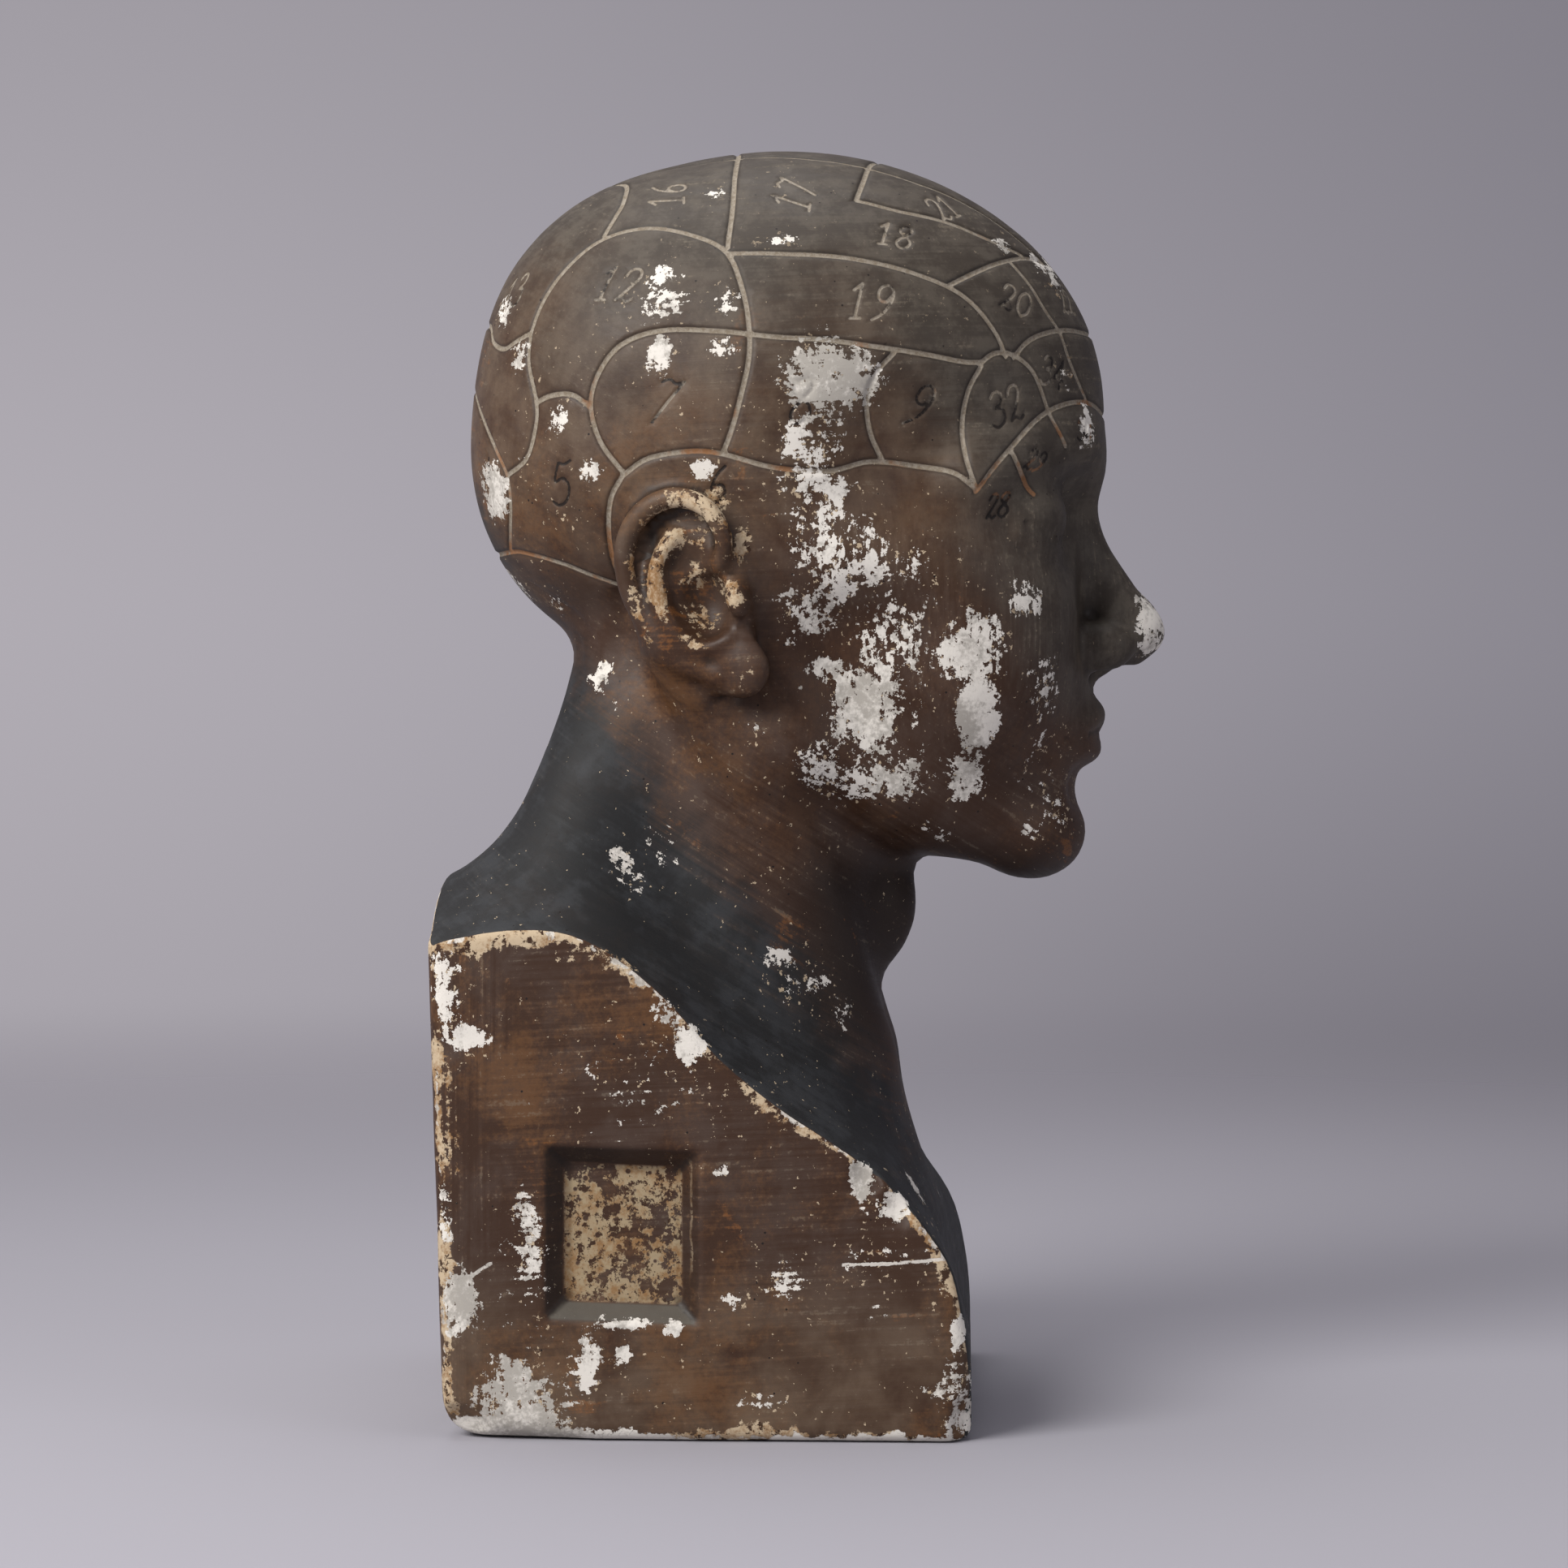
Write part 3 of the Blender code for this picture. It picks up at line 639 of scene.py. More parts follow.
skin = evenSkin()
settle(skin, 3)
relax(skin, 2)
settle(skin, 2)
print("even skin:", len(skin.verts))
bmesh.ops.triangulate(skin, faces=skin.faces, quad_method="BEAUTY", ngon_method="BEAUTY")
cutFiner(skin, 3)
settle(skin, 1)
relax(skin, 1, 0.3)
settle(skin, 2)
print("finer skin:", len(skin.verts), len(skin.faces))

points = coordinates(skin)
slope = formSlope(points)[1]
outward = slope / np.maximum(np.linalg.norm(slope, axis=1, keepdims=True), 1e-9)
lineGap = pathGap(points, linePaths, 0.008)
numeralGap = pathGap(points, numberPaths, 0.004)


def groove(gap, cut):
    share = np.clip(1 - gap / (1.6 * cut["halfWidth"]), 0, 1)
    return cut["depth"] * share * share * (3 - 2 * share)


drop = np.maximum(groove(lineGap, lineCut), groove(numeralGap, numeralCut))
drop += groove(pathGap(points, foldPaths, 0.006), foldCut)
uneven = np.array([
    noise.noise(Vector(p) * 38.0) * 0.00022 + noise.noise(Vector(p) * 130.0) * 0.00008 for p in points
])
setPlaces(skin, points - outward * (drop + 0.0003 - uneven)[:, None])
print("grooves cut")

# where the finish changes, in parts of the head: bare plaster, ochre wear and the rest

# centre, radii (across, along, up) and how bare the middle is
plasterPatches = [
    ((-70, -26, 112), (12, 11, 15), 0.16), ((-68, -34, 98), (14, 20, 16), 0.16),
    ((-62, -24, 84), (12, 13, 15), 0.16), ((-69, -56, 97), (12, 9, 9), 0.0),
    ((-60, -51, 76), (12, 11, 16), 0.16), ((-51, -39, 54), (14, 11, 17), 0.5),
    ((-54, -46, 62), (12, 8, 14), 0.30), ((-49, -43, 34), (12, 20, 12), 0.2),
    ((-53, -27, 67), (10, 6, 5), 0.45), ((-55, -26, 37), (10, 9, 9), 0.24),
    ((-59, -72, 73), (14, 10, 12), 0.6), ((-53, -74, 53), (12, 6, 11), 1.0),
    ((-45, -95, 60), (12, 8, 13), 0.20), ((-43, -71, 33), (12, 10, 8), 0.30),
    ((-52, -89, 89), (10, 6, 6), 0.5), ((-37, -63, 16), (10, 6, 5), 0.1),
    ((-29, -91, 16), (8, 5, 6), 0.05), ((-24, -99, 22), (8, 6, 7), 0.05),
    ((-3, -128, 80), (7, 7, 9), 0.7), ((-73, -30, 155), (12, 15, 13), 0.55),
    ((-75, -20, 139), (12, 8, 11), 0.15), ((-72, -27, 134), (12, 10, 9), 0.12),
    ((-71, -24, 124), (12, 14, 6), 0.2), ((-64, 22, 187), (10, 7, 5), 0.25),
    ((-67, 21, 179), (10, 8, 5), 0.35), ((-70, 1, 179), (10, 5, 7), 0.1),
    ((-71, 22, 162), (8, 4, 6), 0.7), ((-74, 4, 164), (10, 7, 4), 0.2),
    ((-32, 73, 179), (10, 5, 8), 0.2), ((-45, 68, 164), (8, 4, 6), 0.2),
    ((-33, 78, 123), (12, 8, 9), 0.67), ((-59, 54, 143), (8, 4, 8), 0.1),
    ((-63, 44, 128), (8, 5, 5), 0.05), ((-72, 10, 128), (8, 4.5, 3.5), 0.62),
    ((-28, -83, 200), (8, 7, 5), 0.1), ((-15, -96, 193), (10, 9, 9), 0.2),
    ((-62, -14, 198), (8, 7, 3), 0.26), ((-29, -109, 144), (8, 4, 8), 0.26),
    ((-28, 58, 87), (8, 5, 9), 0.05), ((-44, 6, 215), (8, 4, 3), 0.1), ((-59, 34, 8), (8, 7, 6), -0.02),
    ((-52, 24, 15), (8, 8, 6), -0.05), ((-60, 30, 1), (8, 6, 6), -0.02),
    ((-59, -6, 48), (8, 5, 8), 0.0), ((-40, 43, 64), (10, 5, 8), 0.2),
    ((-46, -21, -30), (12, 14, 5), 0.0), ((-50, -13, -22), (12, 10, 4), -0.02),
    ((-38, -33, -41), (8, 4, 6), 0.1), ((-90, 87, -25), (5, 6, 9), 0.4),
    ((-90, 80, -44), (5, 7, 4), 0.8), ((-90, 85, -35), (5, 4, 9), 0.65),
    ((-90, 12, -45), (5, 4.5, 5), 0.8), ((-90, 20, -37), (5, 8, 6), -0.05),
    ((-90, 41, -56), (5, 3, 4), 0.3), ((-90, -40, -87), (5, 3.4, 5.8), 0.85),
    ((-90, -50, -95), (5, 3.8, 4.6), 0.85), ((-90, 62, -98), (5, 5, 7), 0.25),
    ((-90, 60, -107), (5, 6, 12), 0.3), ((-90, 69, -106), (5, 5, 7), 0.0),
    ((-90, 82, -125), (5, 6, 9), 0.65), ((-90, 86, -98), (5, 3, 14), 0.1),
    ((-90, 63, -157), (5, 13, 14), 0.75), ((-90, 43, -142), (5, 4.5, 11), 0.37),
    ((-90, 32, -140), (5, 3, 4.5), 0.5), ((-90, 17, -131), (5, 3, 3), 0.7),
    ((-90, 33, -130), (5, 10, 2.5), 0.3), ((-90, -10, -154), (5, 7.5, 3), 0.35),
    ((-90, -2, -124), (5, 5, 2), 0.4), ((-90, -16, -117), (5, 9, 8), -0.1),
    ((-90, 3, -84), (5, 2.2, 2.2), 0.7), ((-90, -69, -132), (5, 3, 5), 0.5),
    ((-90, -68, -146), (5, 4, 8), 0.1), ((-90, -61, -150), (5, 12, 6), -0.12),
    ((-90, -74, -160), (8, 7, 8), 0.9), ((-61, -56, -92), (5, 4, 8), 0.2),
    # thin scatters of specks
    ((-58, -45, 76), (24, 40, 52), -0.36), ((-90, 62, -120), (6, 28, 44), -0.50),
    ((-90, 22, -56), (6, 44, 30), -0.52), ((-90, -46, -112), (6, 30, 20), -0.5),
    ((-86, -70, -150), (10, 10, 18), -0.3), ((-46, 40, 62), (14, 10, 14), -0.42),
    ((-52, 28, 8), (12, 16, 12), -0.5), ((-45, -18, -30), (14, 16, 14), -0.45),
    ((-50, 60, 125), (24, 20, 40), -0.62), ((-62, 24, 180), (18, 26, 16), -0.55),
    ((-30, -96, 158), (16, 14, 24), -0.5), ((-36, -96, 34), (20, 16, 26), -0.5),
    ((90, 10, -90), (6, 60, 60), -0.55), ((62, -30, 70), (24, 50, 60), -0.5),
    ((0, 84, -80), (80, 8, 70), -0.6),
    # the far side, the front and the back are not seen: patches of the same kinds, laid elsewhere
    ((66, -38, 104), (12, 16, 17), 0.26), ((58, -60, 62), (12, 12, 14), 0.65),
    ((50, -34, 40), (12, 14, 10), 0.26), ((76, 8, 160), (12, 14, 11), 0.65),
    ((60, 50, 150), (10, 8, 10), 0.26), ((62, -64, 150), (10, 9, 7), 0.22),
    ((40, 30, 214), (10, 8, 6), 0.2), ((70, 30, 130), (8, 6, 8), 0.35),
    ((44, -88, 70), (10, 8, 12), 0.35), ((90, 20, -40), (5, 8, 6), 0.65),
    ((90, -30, -70), (5, 6, 9), 0.65), ((90, 60, -110), (5, 10, 14), 0.4),
    ((90, -40, -140), (5, 16, 8), 0.35), ((90, 10, -158), (5, 18, 5), 0.65),
    ((90, 78, -50), (5, 9, 8), 0.7), ((90, -10, -100), (5, 9, 9), -0.1),
    ((8, 90, 150), (12, 8, 12), 0.35), ((-10, 74, 90), (12, 8, 8), 0.2),
    ((20, 82, -60), (16, 6, 14), 0.35), ((-40, 82, -120), (18, 6, 12), 0.4),
    ((50, 82, -140), (12, 6, 16), 0.35), ((-20, 84, -20), (14, 8, 6), 0.2),
    ((30, -70, -100), (12, 8, 10), 0.2), ((-20, -78, -140), (14, 6, 9), 0.35),
    ((40, -78, -150), (10, 6, 9), 0.2), ((10, -116, 110), (5, 6, 6), 0.5),
    ((12, -104, 30), (8, 8, 6), 0.25),
]
ochrePatches = [
    ((-78, 8, 117), (14, 12, 7), 0.6), ((-70, -3, 106), (14, 4, 8), 0.45),
    ((-70, 25, 93), (14, 7, 22), 0.32), ((-66, 12, 96), (14, 5, 12), 0.35),
    ((-65, 10, 82), (14, 8, 9), 0.45), ((-74, 4, 90), (14, 9, 8), 0.30),
    ((-78, -2, 88), (12, 5, 6), 0.15), ((78, 8, 105), (16, 12, 12), 0.3),
    ((74, 4, 80), (14, 9, 8), 0.2), ((-28, -85, 199), (12, 9, 6), 0.0),
    ((-20, -97, 188), (14, 10, 12), -0.05), ((-30, -104, 160), (12, 8, 12), -0.2),
    ((-62, 34, 118), (12, 8, 14), -0.25), ((-67, -20, 172), (10, 14, 6), -0.4),
    ((-60, 30, 178), (12, 14, 12), -0.35), ((-74, 14, 108), (14, 16, 22), 0.1),
    ((-72, -2, 66), (14, 8, 8), -0.3), ((74, 14, 108), (14, 16, 22), 0.0),
    ((-36, -30, 24), (16, 26, 8), -0.35), ((-90, 84, -60), (8, 5, 90), -0.05),
    ((-90, 30, -20), (8, 50, 6), 0.0),
]

# plaster that has gone grey: the temple and the foot
greyPatches = [
    ((-73, -30, 155), (14, 17, 16), 1.0), ((-90, 63, -157), (8, 18, 18), 1.0),
    ((-90, -40, -87), (6, 7, 9), 0.6),
]


def patchField(q, patches):
    best = np.full(len(q), -1.4)
    for centre, radii, bare in patches:
        radii = np.array(radii) * 1.15
        near = np.flatnonzero(within(q, np.array(centre) - 2 * radii, np.array(centre) + 2 * radii))
        if len(near):
            gap = np.linalg.norm((q[near] - np.array(centre)) / radii, axis=1)
            best[near] = np.maximum(best[near], bare - gap**2)
    return best


def facing(points):  # above 0 on the free form, below 0 on the block's flat sides and back
    side, rear = blockFaces(points)[:2]
    gap = np.full(len(points), 8.0)
    low = points[:, 2] < blockTop
    gap[low] = (freeForm(points[low]) - np.maximum(side, rear)[low]) / part
    return np.clip(gap, -8, 8)


def bend(bm, points, outward):  # how far the surface bulges (positive) or sinks, per vertex
    total, count = np.zeros(len(points)), np.zeros(len(points))
    ends = np.array([(edge.verts[0].index, edge.verts[1].index) for edge in bm.edges])
    a, b = ends.T
    gap = points[b] - points[a]
    long = np.maximum((gap**2).sum(axis=1), 1e-10)
    curved = ((outward[b] - outward[a]) * gap).sum(axis=1) / long
    for end in (a, b):
        np.add.at(total, end, curved)
        np.add.at(count, end, 1)
    return total / np.maximum(count, 1)


q = toParts(points)
blockGap = np.full(len(points), 0.02)
lowPart = points[:, 2] < blockTop
blockGap[lowPart] = np.minimum(edgeGap(points[lowPart]), 0.02)
inPanel = np.full(len(points), 8.0)
nearPanel = within(points, (-1, -0.02, 0.02), (-castSizes["baseWidth"] / 2 + 0.012, 0.065, 0.105))
onSide = points[nearPanel]
inward = onSide[:, 0] + castSizes["baseWidth"] / 2
inPanel[nearPanel] = np.clip((panelSizes["depth"] - inward) / part, -8, 8)
skin.verts.index_update()
curved = np.clip(bend(skin, points, outward) / 400, -1, 1)

finishMarks = {
    "scratchGap": pathGap(points, scratchPaths, 0.006) * 1000,
    "lineGap": lineGap * 1000,
    "numeralGap": numeralGap * 1000,
    "plasterPatch": patchField(q, plasterPatches),
    "ochrePatch": patchField(q, ochrePatches),
    "greyPatch": patchField(q, greyPatches),
    # how far the label panel's walls face up, for their painted lit grey
    "litLedge": np.where(inPanel < 7.9, outward[:, 2], 0.0),
    "blockGap": blockGap * 1000,
    "facing": facing(points),
    "panelFloor": inPanel,
    "bend": curved,
}
cast = newPiece("paintedCast", skin)
for name, values in finishMarks.items():
    mark = cast.data.attributes.new(name, "FLOAT", "POINT")
    mark.data.foreach_set("value", np.asarray(values, np.float32))
cast.data.shade_smooth()
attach(cast, "root")
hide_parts("bust")
print("cast made:", len(cast.data.polygons), "faces")

# the finish


class Wire:
    # one output of a shader node; sums and products of wires become Math nodes
    def __init__(self, socket):
        self.socket = socket

    def make(self, kind, settings=None, values=None, out=0):
        tree = self.socket.id_data
        node = tree.nodes.new(kind)
        for name, value in (settings or {}).items():
            setattr(node, name, value)
        for name, value in (values or {}).items():
            if isinstance(value, Wire):
                tree.links.new(value.socket, node.inputs[name])
            else:
                node.inputs[name].default_value = value
        return Wire(node.outputs[out])

    def maths(self, operation, *values, clamp=False):
        settings = {"operation": operation, "use_clamp": clamp}
        return self.make("ShaderNodeMath", settings, dict(enumerate(values)))

    def __add__(self, other):
        return self.maths("ADD", self, other)

    def __radd__(self, other):
        return self.maths("ADD", other, self)

    def __sub__(self, other):
        return self.maths("SUBTRACT", self, other)

    def __rsub__(self, other):
        return self.maths("SUBTRACT", other, self)

    def __mul__(self, other):
        return self.maths("MULTIPLY", self, other)

    def __rmul__(self, other):
        return self.maths("MULTIPLY", other, self)

    def __truediv__(self, other):
        return self.maths("DIVIDE", self, other)

    def __neg__(self):
        return self.maths("MULTIPLY", self, -1.0)

    def most(self, other):
        return self.maths("MAXIMUM", self, other)

    def size(self):  # without its sign
        return self.maths("ABSOLUTE", self)

    def held(self):  # kept between 0 and 1
        return self.maths("ADD", self, 0.0, clamp=True)

    def step(self, low, high):  # 0 below low, 1 above high, smooth between
        values = {"Value": self, "From Min": low, "From Max": high, "To Min": 0.0, "To Max": 1.0}
        return self.make("ShaderNodeMapRange", {"interpolation_type": "SMOOTHSTEP"}, values)

    def mix(self, first, second):  # this wire mixes two colours or named paints
        first, second = (paints[tint] if isinstance(tint, str) else tint for tint in (first, second))
        values = {0: self, 6: first, 7: second}
        return self.make("ShaderNodeMix", {"data_type": "RGBA"}, values, 2)

    def shaped(self, scale=(1, 1, 1), shift=(0, 0, 0)):
        return self.make("ShaderNodeMapping", None, {"Vector": self, "Scale": scale, "Location": shift})

    def noise(self, scale, detail=4.0, rough=0.55, warp=0.0):
        values = {"Vector": self, "Scale": scale, "Detail": detail, "Roughness": rough, "Distortion": warp}
        return self.make("ShaderNodeTexNoise", None, values)

    def brushed(self, tilt, pitch, along):  # fine streaks that lie at a tilt in the side plane
        values = {"Vector": self, "Rotation": (math.radians(tilt), 0, 0)}
        turnedPlace = self.make("ShaderNodeMapping", None, values)
        return turnedPlace.shaped((along, along, pitch)).noise(1, 3, 0.6)

    def cells(self, scale):
        return self.make("ShaderNodeTexVoronoi", None, {"Vector": self, "Scale": scale})


def colour(red, green, blue):
    return (red, green, blue, 1.0)


paints = {
    "chocolate": colour(0.04, 0.018, 0.009),
    "bloom": colour(0.062, 0.039, 0.029),  # the mauve haze on the brown
    "warm": colour(0.118, 0.053, 0.019),
    "khaki": colour(0.15, 0.102, 0.064),
    "black": colour(0.009, 0.0055, 0.004),
    "charcoal": colour(0.042, 0.034, 0.026),
    "paleCharcoal": colour(0.07, 0.059, 0.046),
    "slate": colour(0.013, 0.0145, 0.0155),
    "paleSlate": colour(0.027, 0.03, 0.033),
    "rust": colour(0.21, 0.078, 0.018),
    "dust": colour(0.185, 0.15, 0.108),
    "paleDust": colour(0.285, 0.25, 0.2),
    "ochre": colour(0.24, 0.13, 0.052),
    "cream": colour(0.5, 0.395, 0.265),
    "plaster": colour(0.67, 0.635, 0.575),
    "greyPlaster": colour(0.37, 0.345, 0.305),
    "tan": colour(0.33, 0.255, 0.155),
    # the painted lit grey of the label panel's upward-facing wall
    "litLedge": colour(0.088, 0.078, 0.062),
}
# strengths of the paint layers, of the painted shade under the jaw and of the painted sheen on brush ridges
paintWearAndShade = {  # how strongly each layer shows, 0 to 1, then the gloss and the relief
    "bloom": 0.70,
    "charcoal": 0.92,
    "slate": 0.94,
    # the painted shade under the jaw
    "underJawPaintedShade": 0.75,
    "rust": 0.5,
    # dust and painted sheen along the brush marks
    "brushDustAndSheen": 0.30,
    "specks": 0.85,
    "besideLines": 0.45,
    "inLines": 0.95,
    "inNumerals": 0.92,
    "cream": 0.95,
    "roughness": 0.50,
    "specular": 0.27,
    "relief": 0.7,
    "reliefDepth": 0.0005,
}


def newMaterial(name):
    material = bpy.data.materials.new(name)
    material.use_nodes = True
    nodes = material.node_tree.nodes
    shader = nodes["Principled BSDF"]
    place = Wire(nodes.new("ShaderNodeTexCoord").outputs["Object"])
    return material, shader, place


def paintedPlaster():
    material, shader, place = newMaterial("Painted plaster")
    tree = material.node_tree
    y, z = (place.make("ShaderNodeSeparateXYZ", None, {0: place}, i) for i in (1, 2))
    behind = (y - float(headOrigin[1])) / part  # parts behind the ear, and above the chin
    above = (z - float(headOrigin[2])) / part

    def mark(name):
        return place.make("ShaderNodeAttribute", {"attribute_name": name}, None, 2)

    lineGap, numeralGap, scratchGap = map(mark, ("lineGap", "numeralGap", "scratchGap"))
    plasterPatch, ochrePatch, blockGap = map(mark, ("plasterPatch", "ochrePatch", "blockGap"))
    greyPatch, litLedge = map(mark, ("greyPatch", "litLedge"))
    facing, panelFloor, bend = map(mark, ("facing", "panelFloor", "bend"))
    onFree = facing.step(-0.5, 0.5)

    broad = place.noise(21, 2, 0.5)
    patchy = place.noise(48, 4, 0.6, 0.3)
    cloudy = place.noise(95, 5, 0.66)
    fine = place.noise(640, 4, 0.68)
    grain = place.noise(2300, 2, 0.5)

    # brush marks: level, upright near the back of the sides and on the cheek, and slanting on the neck
    level = place.brushed(3, 620, 26)
    upright = place.shaped((700, 700, 20)).noise(1, 3, 0.6)
    slant = place.brushed(-33, 700, 24)
    nearBack = (y + (broad - 0.5) * 0.05).step(0.050, 0.066) * (1 - onFree)
    onCheek = onFree * above.step(10, 45) * (1 - above.step(105, 135)) * (1 - behind.step(-30, -5))
    onNeck = onFree * (1 - above.step(20, 75)) + onFree * above.step(20, 75) * behind.step(10, 40) * 0.6
    streak = level + (upright - level) * nearBack.most(onCheek)
    streak = streak + (slant - streak) * onNeck.held()
    patchyStreak = (streak - 0.5) * patchy.step(0.42, 0.60)

    # chocolate paint under a thin mauve bloom, worn warm in places
    bloom = patchy + (streak - 0.5) * 0.45 + (fine - 0.5) * 0.15 + onFree * 0.03 - 0.02
    bloom = bloom.step(0.38, 0.68)
    paint = (bloom * paintWearAndShade["bloom"]).mix("chocolate", "bloom")
    warm = (place.noise(30, 6, 0.66, 0.4) + (streak - 0.5) * 0.34 + (fine - 0.5) * 0.40).step(0.44, 0.70)
    warmZone = (behind.step(-20, 20) * (1 - above.step(120, 175))).most(1 - onFree)
    paint = (warm * (0.25 + warmZone * 0.50)).mix(paint, "warm")
    highKhaki = above.step(72, 135) * (0.32 + (cloudy - 0.5) * 1.5)
    lowKhaki = (1 - z.step(0.020, 0.062)) * (0.30 + (patchy - 0.5) * 1.6)
    paint = (highKhaki + lowKhaki).held().mix(paint, "khaki")

    # the crown is charcoal and the shoulders are slate
    face = (-behind - 48).most(0.0) * above.step(20, 60)
    crown = above + (broad - 0.5) * 70 + (streak - 0.5) * 30 - behind * 0.10 + face * 1.9
    crown = crown.step(128, 205) * onFree
    charcoal = ((streak - 0.5) * 0.5 + cloudy + (fine - 0.5) * 0.3).step(0.38, 0.64).mix(
        "charcoal", "paleCharcoal"
    )
    paint = (crown * paintWearAndShade["charcoal"]).mix(paint, charcoal)
    slateLine = above - behind * 1.35 - 2 + (patchy - 0.5) * 60 + (streak - 0.5) * 30
    shoulders = (1 - slateLine.step(-20, 16)) * facing.step(0.15, 0.7)
    slate = ((slant - 0.5) * 0.22 + cloudy * 0.6 + broad * 0.4).step(0.44, 0.62).mix(
        "slate", "paleSlate"
    )
    paint = (shoulders * paintWearAndShade["slate"]).mix(paint, slate)
    plain = (1 - crown) * (1 - shoulders)

    # painted shade under the jaw, rusty behind it and round the ear
    underJawPaintedShade = (1 - above.step(-2, 16)) * above.step(-60, -30) * (1 - behind.step(-34, -6)) * onFree
    paint = (underJawPaintedShade * paintWearAndShade["underJawPaintedShade"]).mix(paint, "black")
    rusty = (place.noise(37, 5, 0.65, 0.5) + (streak - 0.5) * 0.35 + (fine - 0.5) * 0.3).step(0.64, 0.74)
    paint = (rusty * plain * paintWearAndShade["rust"]).mix(paint, "rust")

    # thin light brush lines, partly dust in the brush marks and partly a painted sheen on their ridges, and a
    # scatter of worn specks
    brushDustAndSheen = (patchyStreak * 1.5 + (fine - 0.5) * 1.1).step(0.15, 0.30)
    paint = (brushDustAndSheen * (paintWearAndShade["brushDustAndSheen"] - shoulders * 0.26)).mix(paint, "dust")
    specks = (place.noise(430, 3, 0.7) + (broad - 0.5) * 0.20 + plasterPatch * 0.05).step(0.622, 0.642)
    specks = specks * (1 - crown * 0.6)
    paint = (specks * paintWearAndShade["specks"]).mix(paint, "cream")
    pits = 1 - place.cells(150).step(0.045, 0.06)
    paint = pits.mix(paint, "black")

    # scribed lines hold dust, rusty in places; numerals are half filled
    lineEdge = lineGap + (fine - 0.5) * 0.5
    inLine = 1 - lineEdge.step(0.58, 0.92)
    besideLine = (1 - lineGap.step(0.8, 1.9)) * (1 - inLine)
    paint = (besideLine * paintWearAndShade["besideLines"]).mix(paint, "black")
    inNumeral = 1 - (numeralGap + (fine - 0.5) * 0.3).step(0.34, 0.60)
    rustLine = (patchy - (above - 120) * 0.0022).step(0.50, 0.60)
    dusty = (fine * 0.8 + grain * 0.3).step(0.42, 0.68).mix("dust", "paleDust")
    dusty = (rustLine * 0.75).mix(dusty, "rust")
    paint = (inLine * paintWearAndShade["inLines"]).mix(paint, dusty)
    cut = (cloudy + (above - 150) * 0.0020).step(0.46, 0.58).mix("black", dusty)
    paint = (inNumeral * paintWearAndShade["inNumerals"] * (1 - inLine)).mix(paint, cut)

    # ochre and cream where edges and ridges are worn; painted shade on the label panel's walls, with a
    # painted lit grey where a wall faces up
    ragged = (place.noise(105, 5, 0.7) - 0.5) * 3.2 + (place.noise(410, 4, 0.72) - 0.5) * 2.9
    ragged = ragged + (streak - 0.5) * 1.5
    ridge = bend.step(-0.05, 0.25)
    ochre = (ochrePatch + ragged * 0.75 + (ridge - 0.5) * 0.4).step(0.0, 0.16)
    edge = blockGap * 0.19 - (patchy - 0.5) * 3.6 - ragged * 0.42 + facing.step(0.1, 0.5) * 1.1
    edgeWear = 1 - edge.step(0.46, 0.56)
    panelNoise = place.noise(260, 5, 0.76) + (place.noise(70, 3, 0.5) - 0.5) * 0.8
    panelNoise = panelNoise - (z - panelSizes["fromFoot"]) * 1.5
    spots = place.shaped(shift=(0.3, 0.1, 0)).cells(210).step(0.14, 0.22)
    panelWear = (1 - panelFloor.step(0.5, 1.2)) * panelNoise.step(0.482, 0.50) * spots
    wall = panelFloor.step(0.9, 1.6) * (1 - panelFloor.step(5.3, 6.2))
    shadedRearWall = behind.step(28, 40)
    # painted shade on the label panel's walls, darker on the rear wall, and a painted lit grey where a wall
    # faces up
    paint = (wall * (0.35 + shadedRearWall * 0.3)).mix(paint, "black")
    paint = (wall * litLedge.step(0.25, 0.6) * (0.55 + cloudy * 0.6)).mix(paint, "litLedge")
    crack = 1 - (panelFloor - 3.6 - (cloudy - 0.5) * 3).size().step(0.15, 0.5)
    wallLine = crack * wall * (1 - behind.step(8, 14)) * patchy.step(0.40, 0.52)
    cream = ochre.most(edgeWear).most(panelWear).most(wallLine * 0.8)
    creamTone = (cloudy * 0.8 + fine * 0.5 - 0.12).step(0.40, 0.62).mix("ochre", "cream")
    tan = (cloudy * 0.7 + fine * 0.4).step(0.42, 0.62).mix("ochre", "tan")
    creamTone = panelWear.mix(creamTone, tan)
    creamDirt = (place.noise(300, 4, 0.72) + broad * 0.2).step(0.64, 0.70)
    creamTone = creamDirt.mix(creamTone, "chocolate")
    paint = (cream * paintWearAndShade["cream"]).mix(paint, creamTone)
    whiteEdge = edgeWear * (1 - (blockGap * 0.3 + (cloudy - 0.5) * 5 + (broad - 0.5) * 3).step(0.05, 0.3))

    # paint flaked off to the white plaster, then painted shade in the hollows
    flake = (plasterPatch + ragged).step(0.0, 0.035)
    footBare = z * 1000 - (broad - 0.5) * 16 - (cloudy - 0.5) * 14 - behind.step(10, 85) * 4.2
    footBare = 1 - footBare.step(1.3, 1.8)
    scratch = 1 - (scratchGap + (fine - 0.5) * 1.0 + (cloudy - 0.5) * 1.2).step(0.50, 0.65)
    bare = flake.most(footBare).most(whiteEdge * 0.9).most(scratch * 0.8)
    clean = cloudy * 0.6 + fine * 0.4 + (broad - 0.5) * 0.5 - (greyPatch + 0.2).held() * 0.16
    plaster = clean.step(0.37, 0.54).mix("greyPlaster", "plaster")
    final = bare.mix(paint, plaster)
    # black in the hollows, by how far the surface sinks: painted shade
    paintedHollowShade = (-bend).step(0.12, 0.6)
    final = (paintedHollowShade * 0.7 * (1 - inLine) * (1 - bare * 0.6)).mix(final, "black")
    tree.links.new(final.socket, shader.inputs["Base Color"])

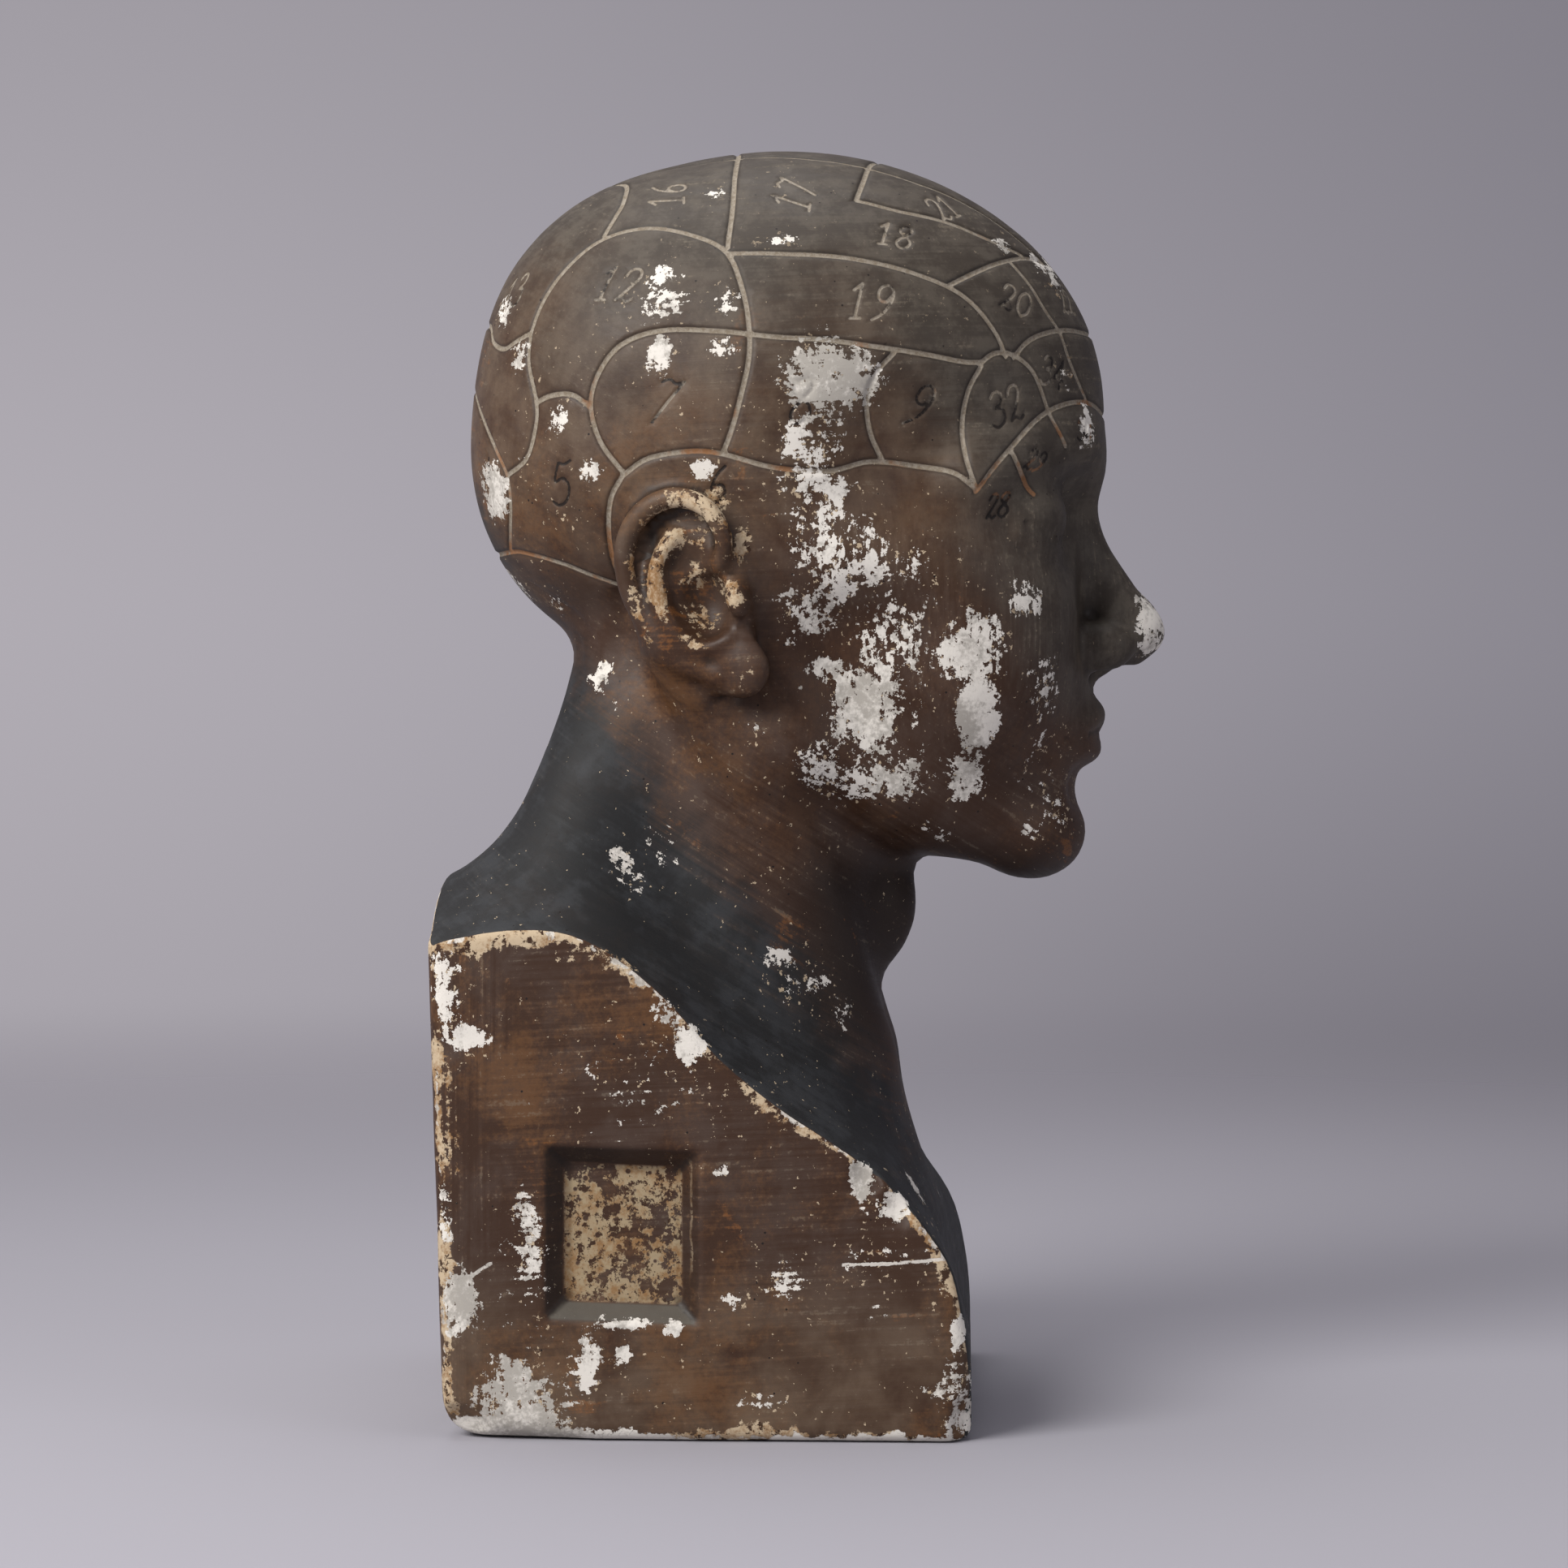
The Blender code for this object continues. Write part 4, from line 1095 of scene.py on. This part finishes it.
    matt = bare.most(cream * 0.9).most(inLine * 0.8)
    rough = paintWearAndShade["roughness"] + (streak - 0.5) * 0.22
    rough = rough + bloom * 0.08 + crown * 0.04 + shoulders * 0.14 + matt * 0.30
    tree.links.new(rough.socket, shader.inputs["Roughness"])
    shader.inputs["Specular IOR Level"].default_value = paintWearAndShade["specular"]

    height = streak * 0.22 + fine * 0.12 + (1 - bare) * 0.5 - cream * 0.2 + bare * cloudy * 0.6 + grain * 0.05
    relief = {"Strength": paintWearAndShade["relief"], "Distance": paintWearAndShade["reliefDepth"], "Height": height}
    bump = place.make("ShaderNodeBump", None, relief)
    tree.links.new(bump.socket, shader.inputs["Normal"])
    return material


cast.data.materials.append(paintedPlaster())
print("finish made")

# stage, camera and light

# the backdrop colours paint a fall of light: lighter on the left wall, shaded on the right and up high
studio = {
    "floor": colour(0.335, 0.325, 0.36),
    "leftWall": colour(0.44, 0.415, 0.455),
    "rightWall": colour(0.215, 0.205, 0.24),
    "shadedWall": colour(0.125, 0.118, 0.140),
    "keyPower": 38.0,
    "fillPower": 5.0,
    "topPower": 12.0,
}


def pale(name, tint):
    material, shader, place = newMaterial(name)
    shader.inputs["Base Color"].default_value = tint
    shader.inputs["Roughness"].default_value = 0.9
    far = place.make("ShaderNodeVectorMath", {"operation": "LENGTH"}, {0: place}, 1)
    tree = material.node_tree
    clear = tree.nodes.new("ShaderNodeBsdfTransparent")
    fade = tree.nodes.new("ShaderNodeMixShader")
    tree.links.new(far.step(0.4, 1.8).socket, fade.inputs[0])
    tree.links.new(shader.outputs[0], fade.inputs[1])
    tree.links.new(clear.outputs[0], fade.inputs[2])
    tree.links.new(fade.outputs[0], tree.nodes["Material Output"].inputs["Surface"])
    return material


bm = bmesh.new()
bmesh.ops.create_circle(bm, cap_ends=True, radius=2.0, segments=96)
floor = newPiece("floor", bm)
floor.data.materials.append(pale("Pale floor", studio["floor"]))

# painted light and shade on the backdrop: the wall is lighter on the left, behind the head, and darker up
# high and in a painted shadow band low down
world = bpy.data.worlds.new("Studio")
scene.world = world
world.use_nodes = True
worldNodes = world.node_tree.nodes
lookingAt = Wire(worldNodes.new("ShaderNodeTexCoord").outputs["Generated"])
sideways, upwards = (lookingAt.make("ShaderNodeSeparateXYZ", None, {0: lookingAt}, i) for i in (1, 2))
wall = sideways.step(-0.30, 0.26).mix(studio["rightWall"], studio["leftWall"])
wall = (upwards.step(0.0, 0.20) * 0.30).mix(wall, studio["shadedWall"])
wallShadowBand = (1 - upwards.step(-0.15, 0.03)) * (0.75 - sideways.step(-0.15, 0.15) * 0.55)
wall = wallShadowBand.mix(wall, studio["shadedWall"])
world.node_tree.links.new(wall.socket, worldNodes["Background"].inputs["Color"])


def softLight(name, at, size, power, aim=(0.0, -0.01, 0.22), tint=(1.0, 1.0, 1.0)):
    lamp = bpy.data.lights.new(name, "AREA")
    lamp.shape, lamp.size, lamp.energy, lamp.color = "DISK", size, power, tint
    thing = bpy.data.objects.new(name, lamp)
    scene.collection.objects.link(thing)
    thing.location = at
    thing.rotation_euler = (Vector(aim) - Vector(at)).to_track_quat("-Z", "Y").to_euler()


softLight("keyLight", (-1.15, 0.95, 1.15), 1.0, studio["keyPower"], tint=(1.0, 0.985, 0.96))
softLight("fillLight", (-0.9, -1.5, 0.7), 1.1, studio["fillPower"], tint=(0.96, 0.97, 1.0))
softLight("topLight", (0.15, 0.1, 1.7), 1.2, studio["topPower"])
scene.view_settings.view_transform = "Standard"

cameraView = {
    "distance": 1.4,
    "towardFace": 2.3,  # degrees round from the square side view
    "above": 1.5,
    "aim": (0.0, headOrigin[1] - 0.0128, headOrigin[2] + 0.0302),
    "metresPerPixel": 0.00026,  # of 1932, at the aim
}
camera = bpy.data.objects.new("camera", bpy.data.cameras.new("camera"))
scene.collection.objects.link(camera)
phi, lift = math.radians(cameraView["towardFace"]), math.radians(cameraView["above"])
away = Vector((-math.cos(phi) * math.cos(lift), -math.sin(phi) * math.cos(lift), math.sin(lift)))
camera.location = Vector(cameraView["aim"]) + away * cameraView["distance"]
camera.rotation_euler = (-away).to_track_quat("-Z", "Y").to_euler()
camera.data.sensor_width = 36
camera.data.lens = 36 * cameraView["distance"] / (1932 * cameraView["metresPerPixel"])
scene.camera = camera
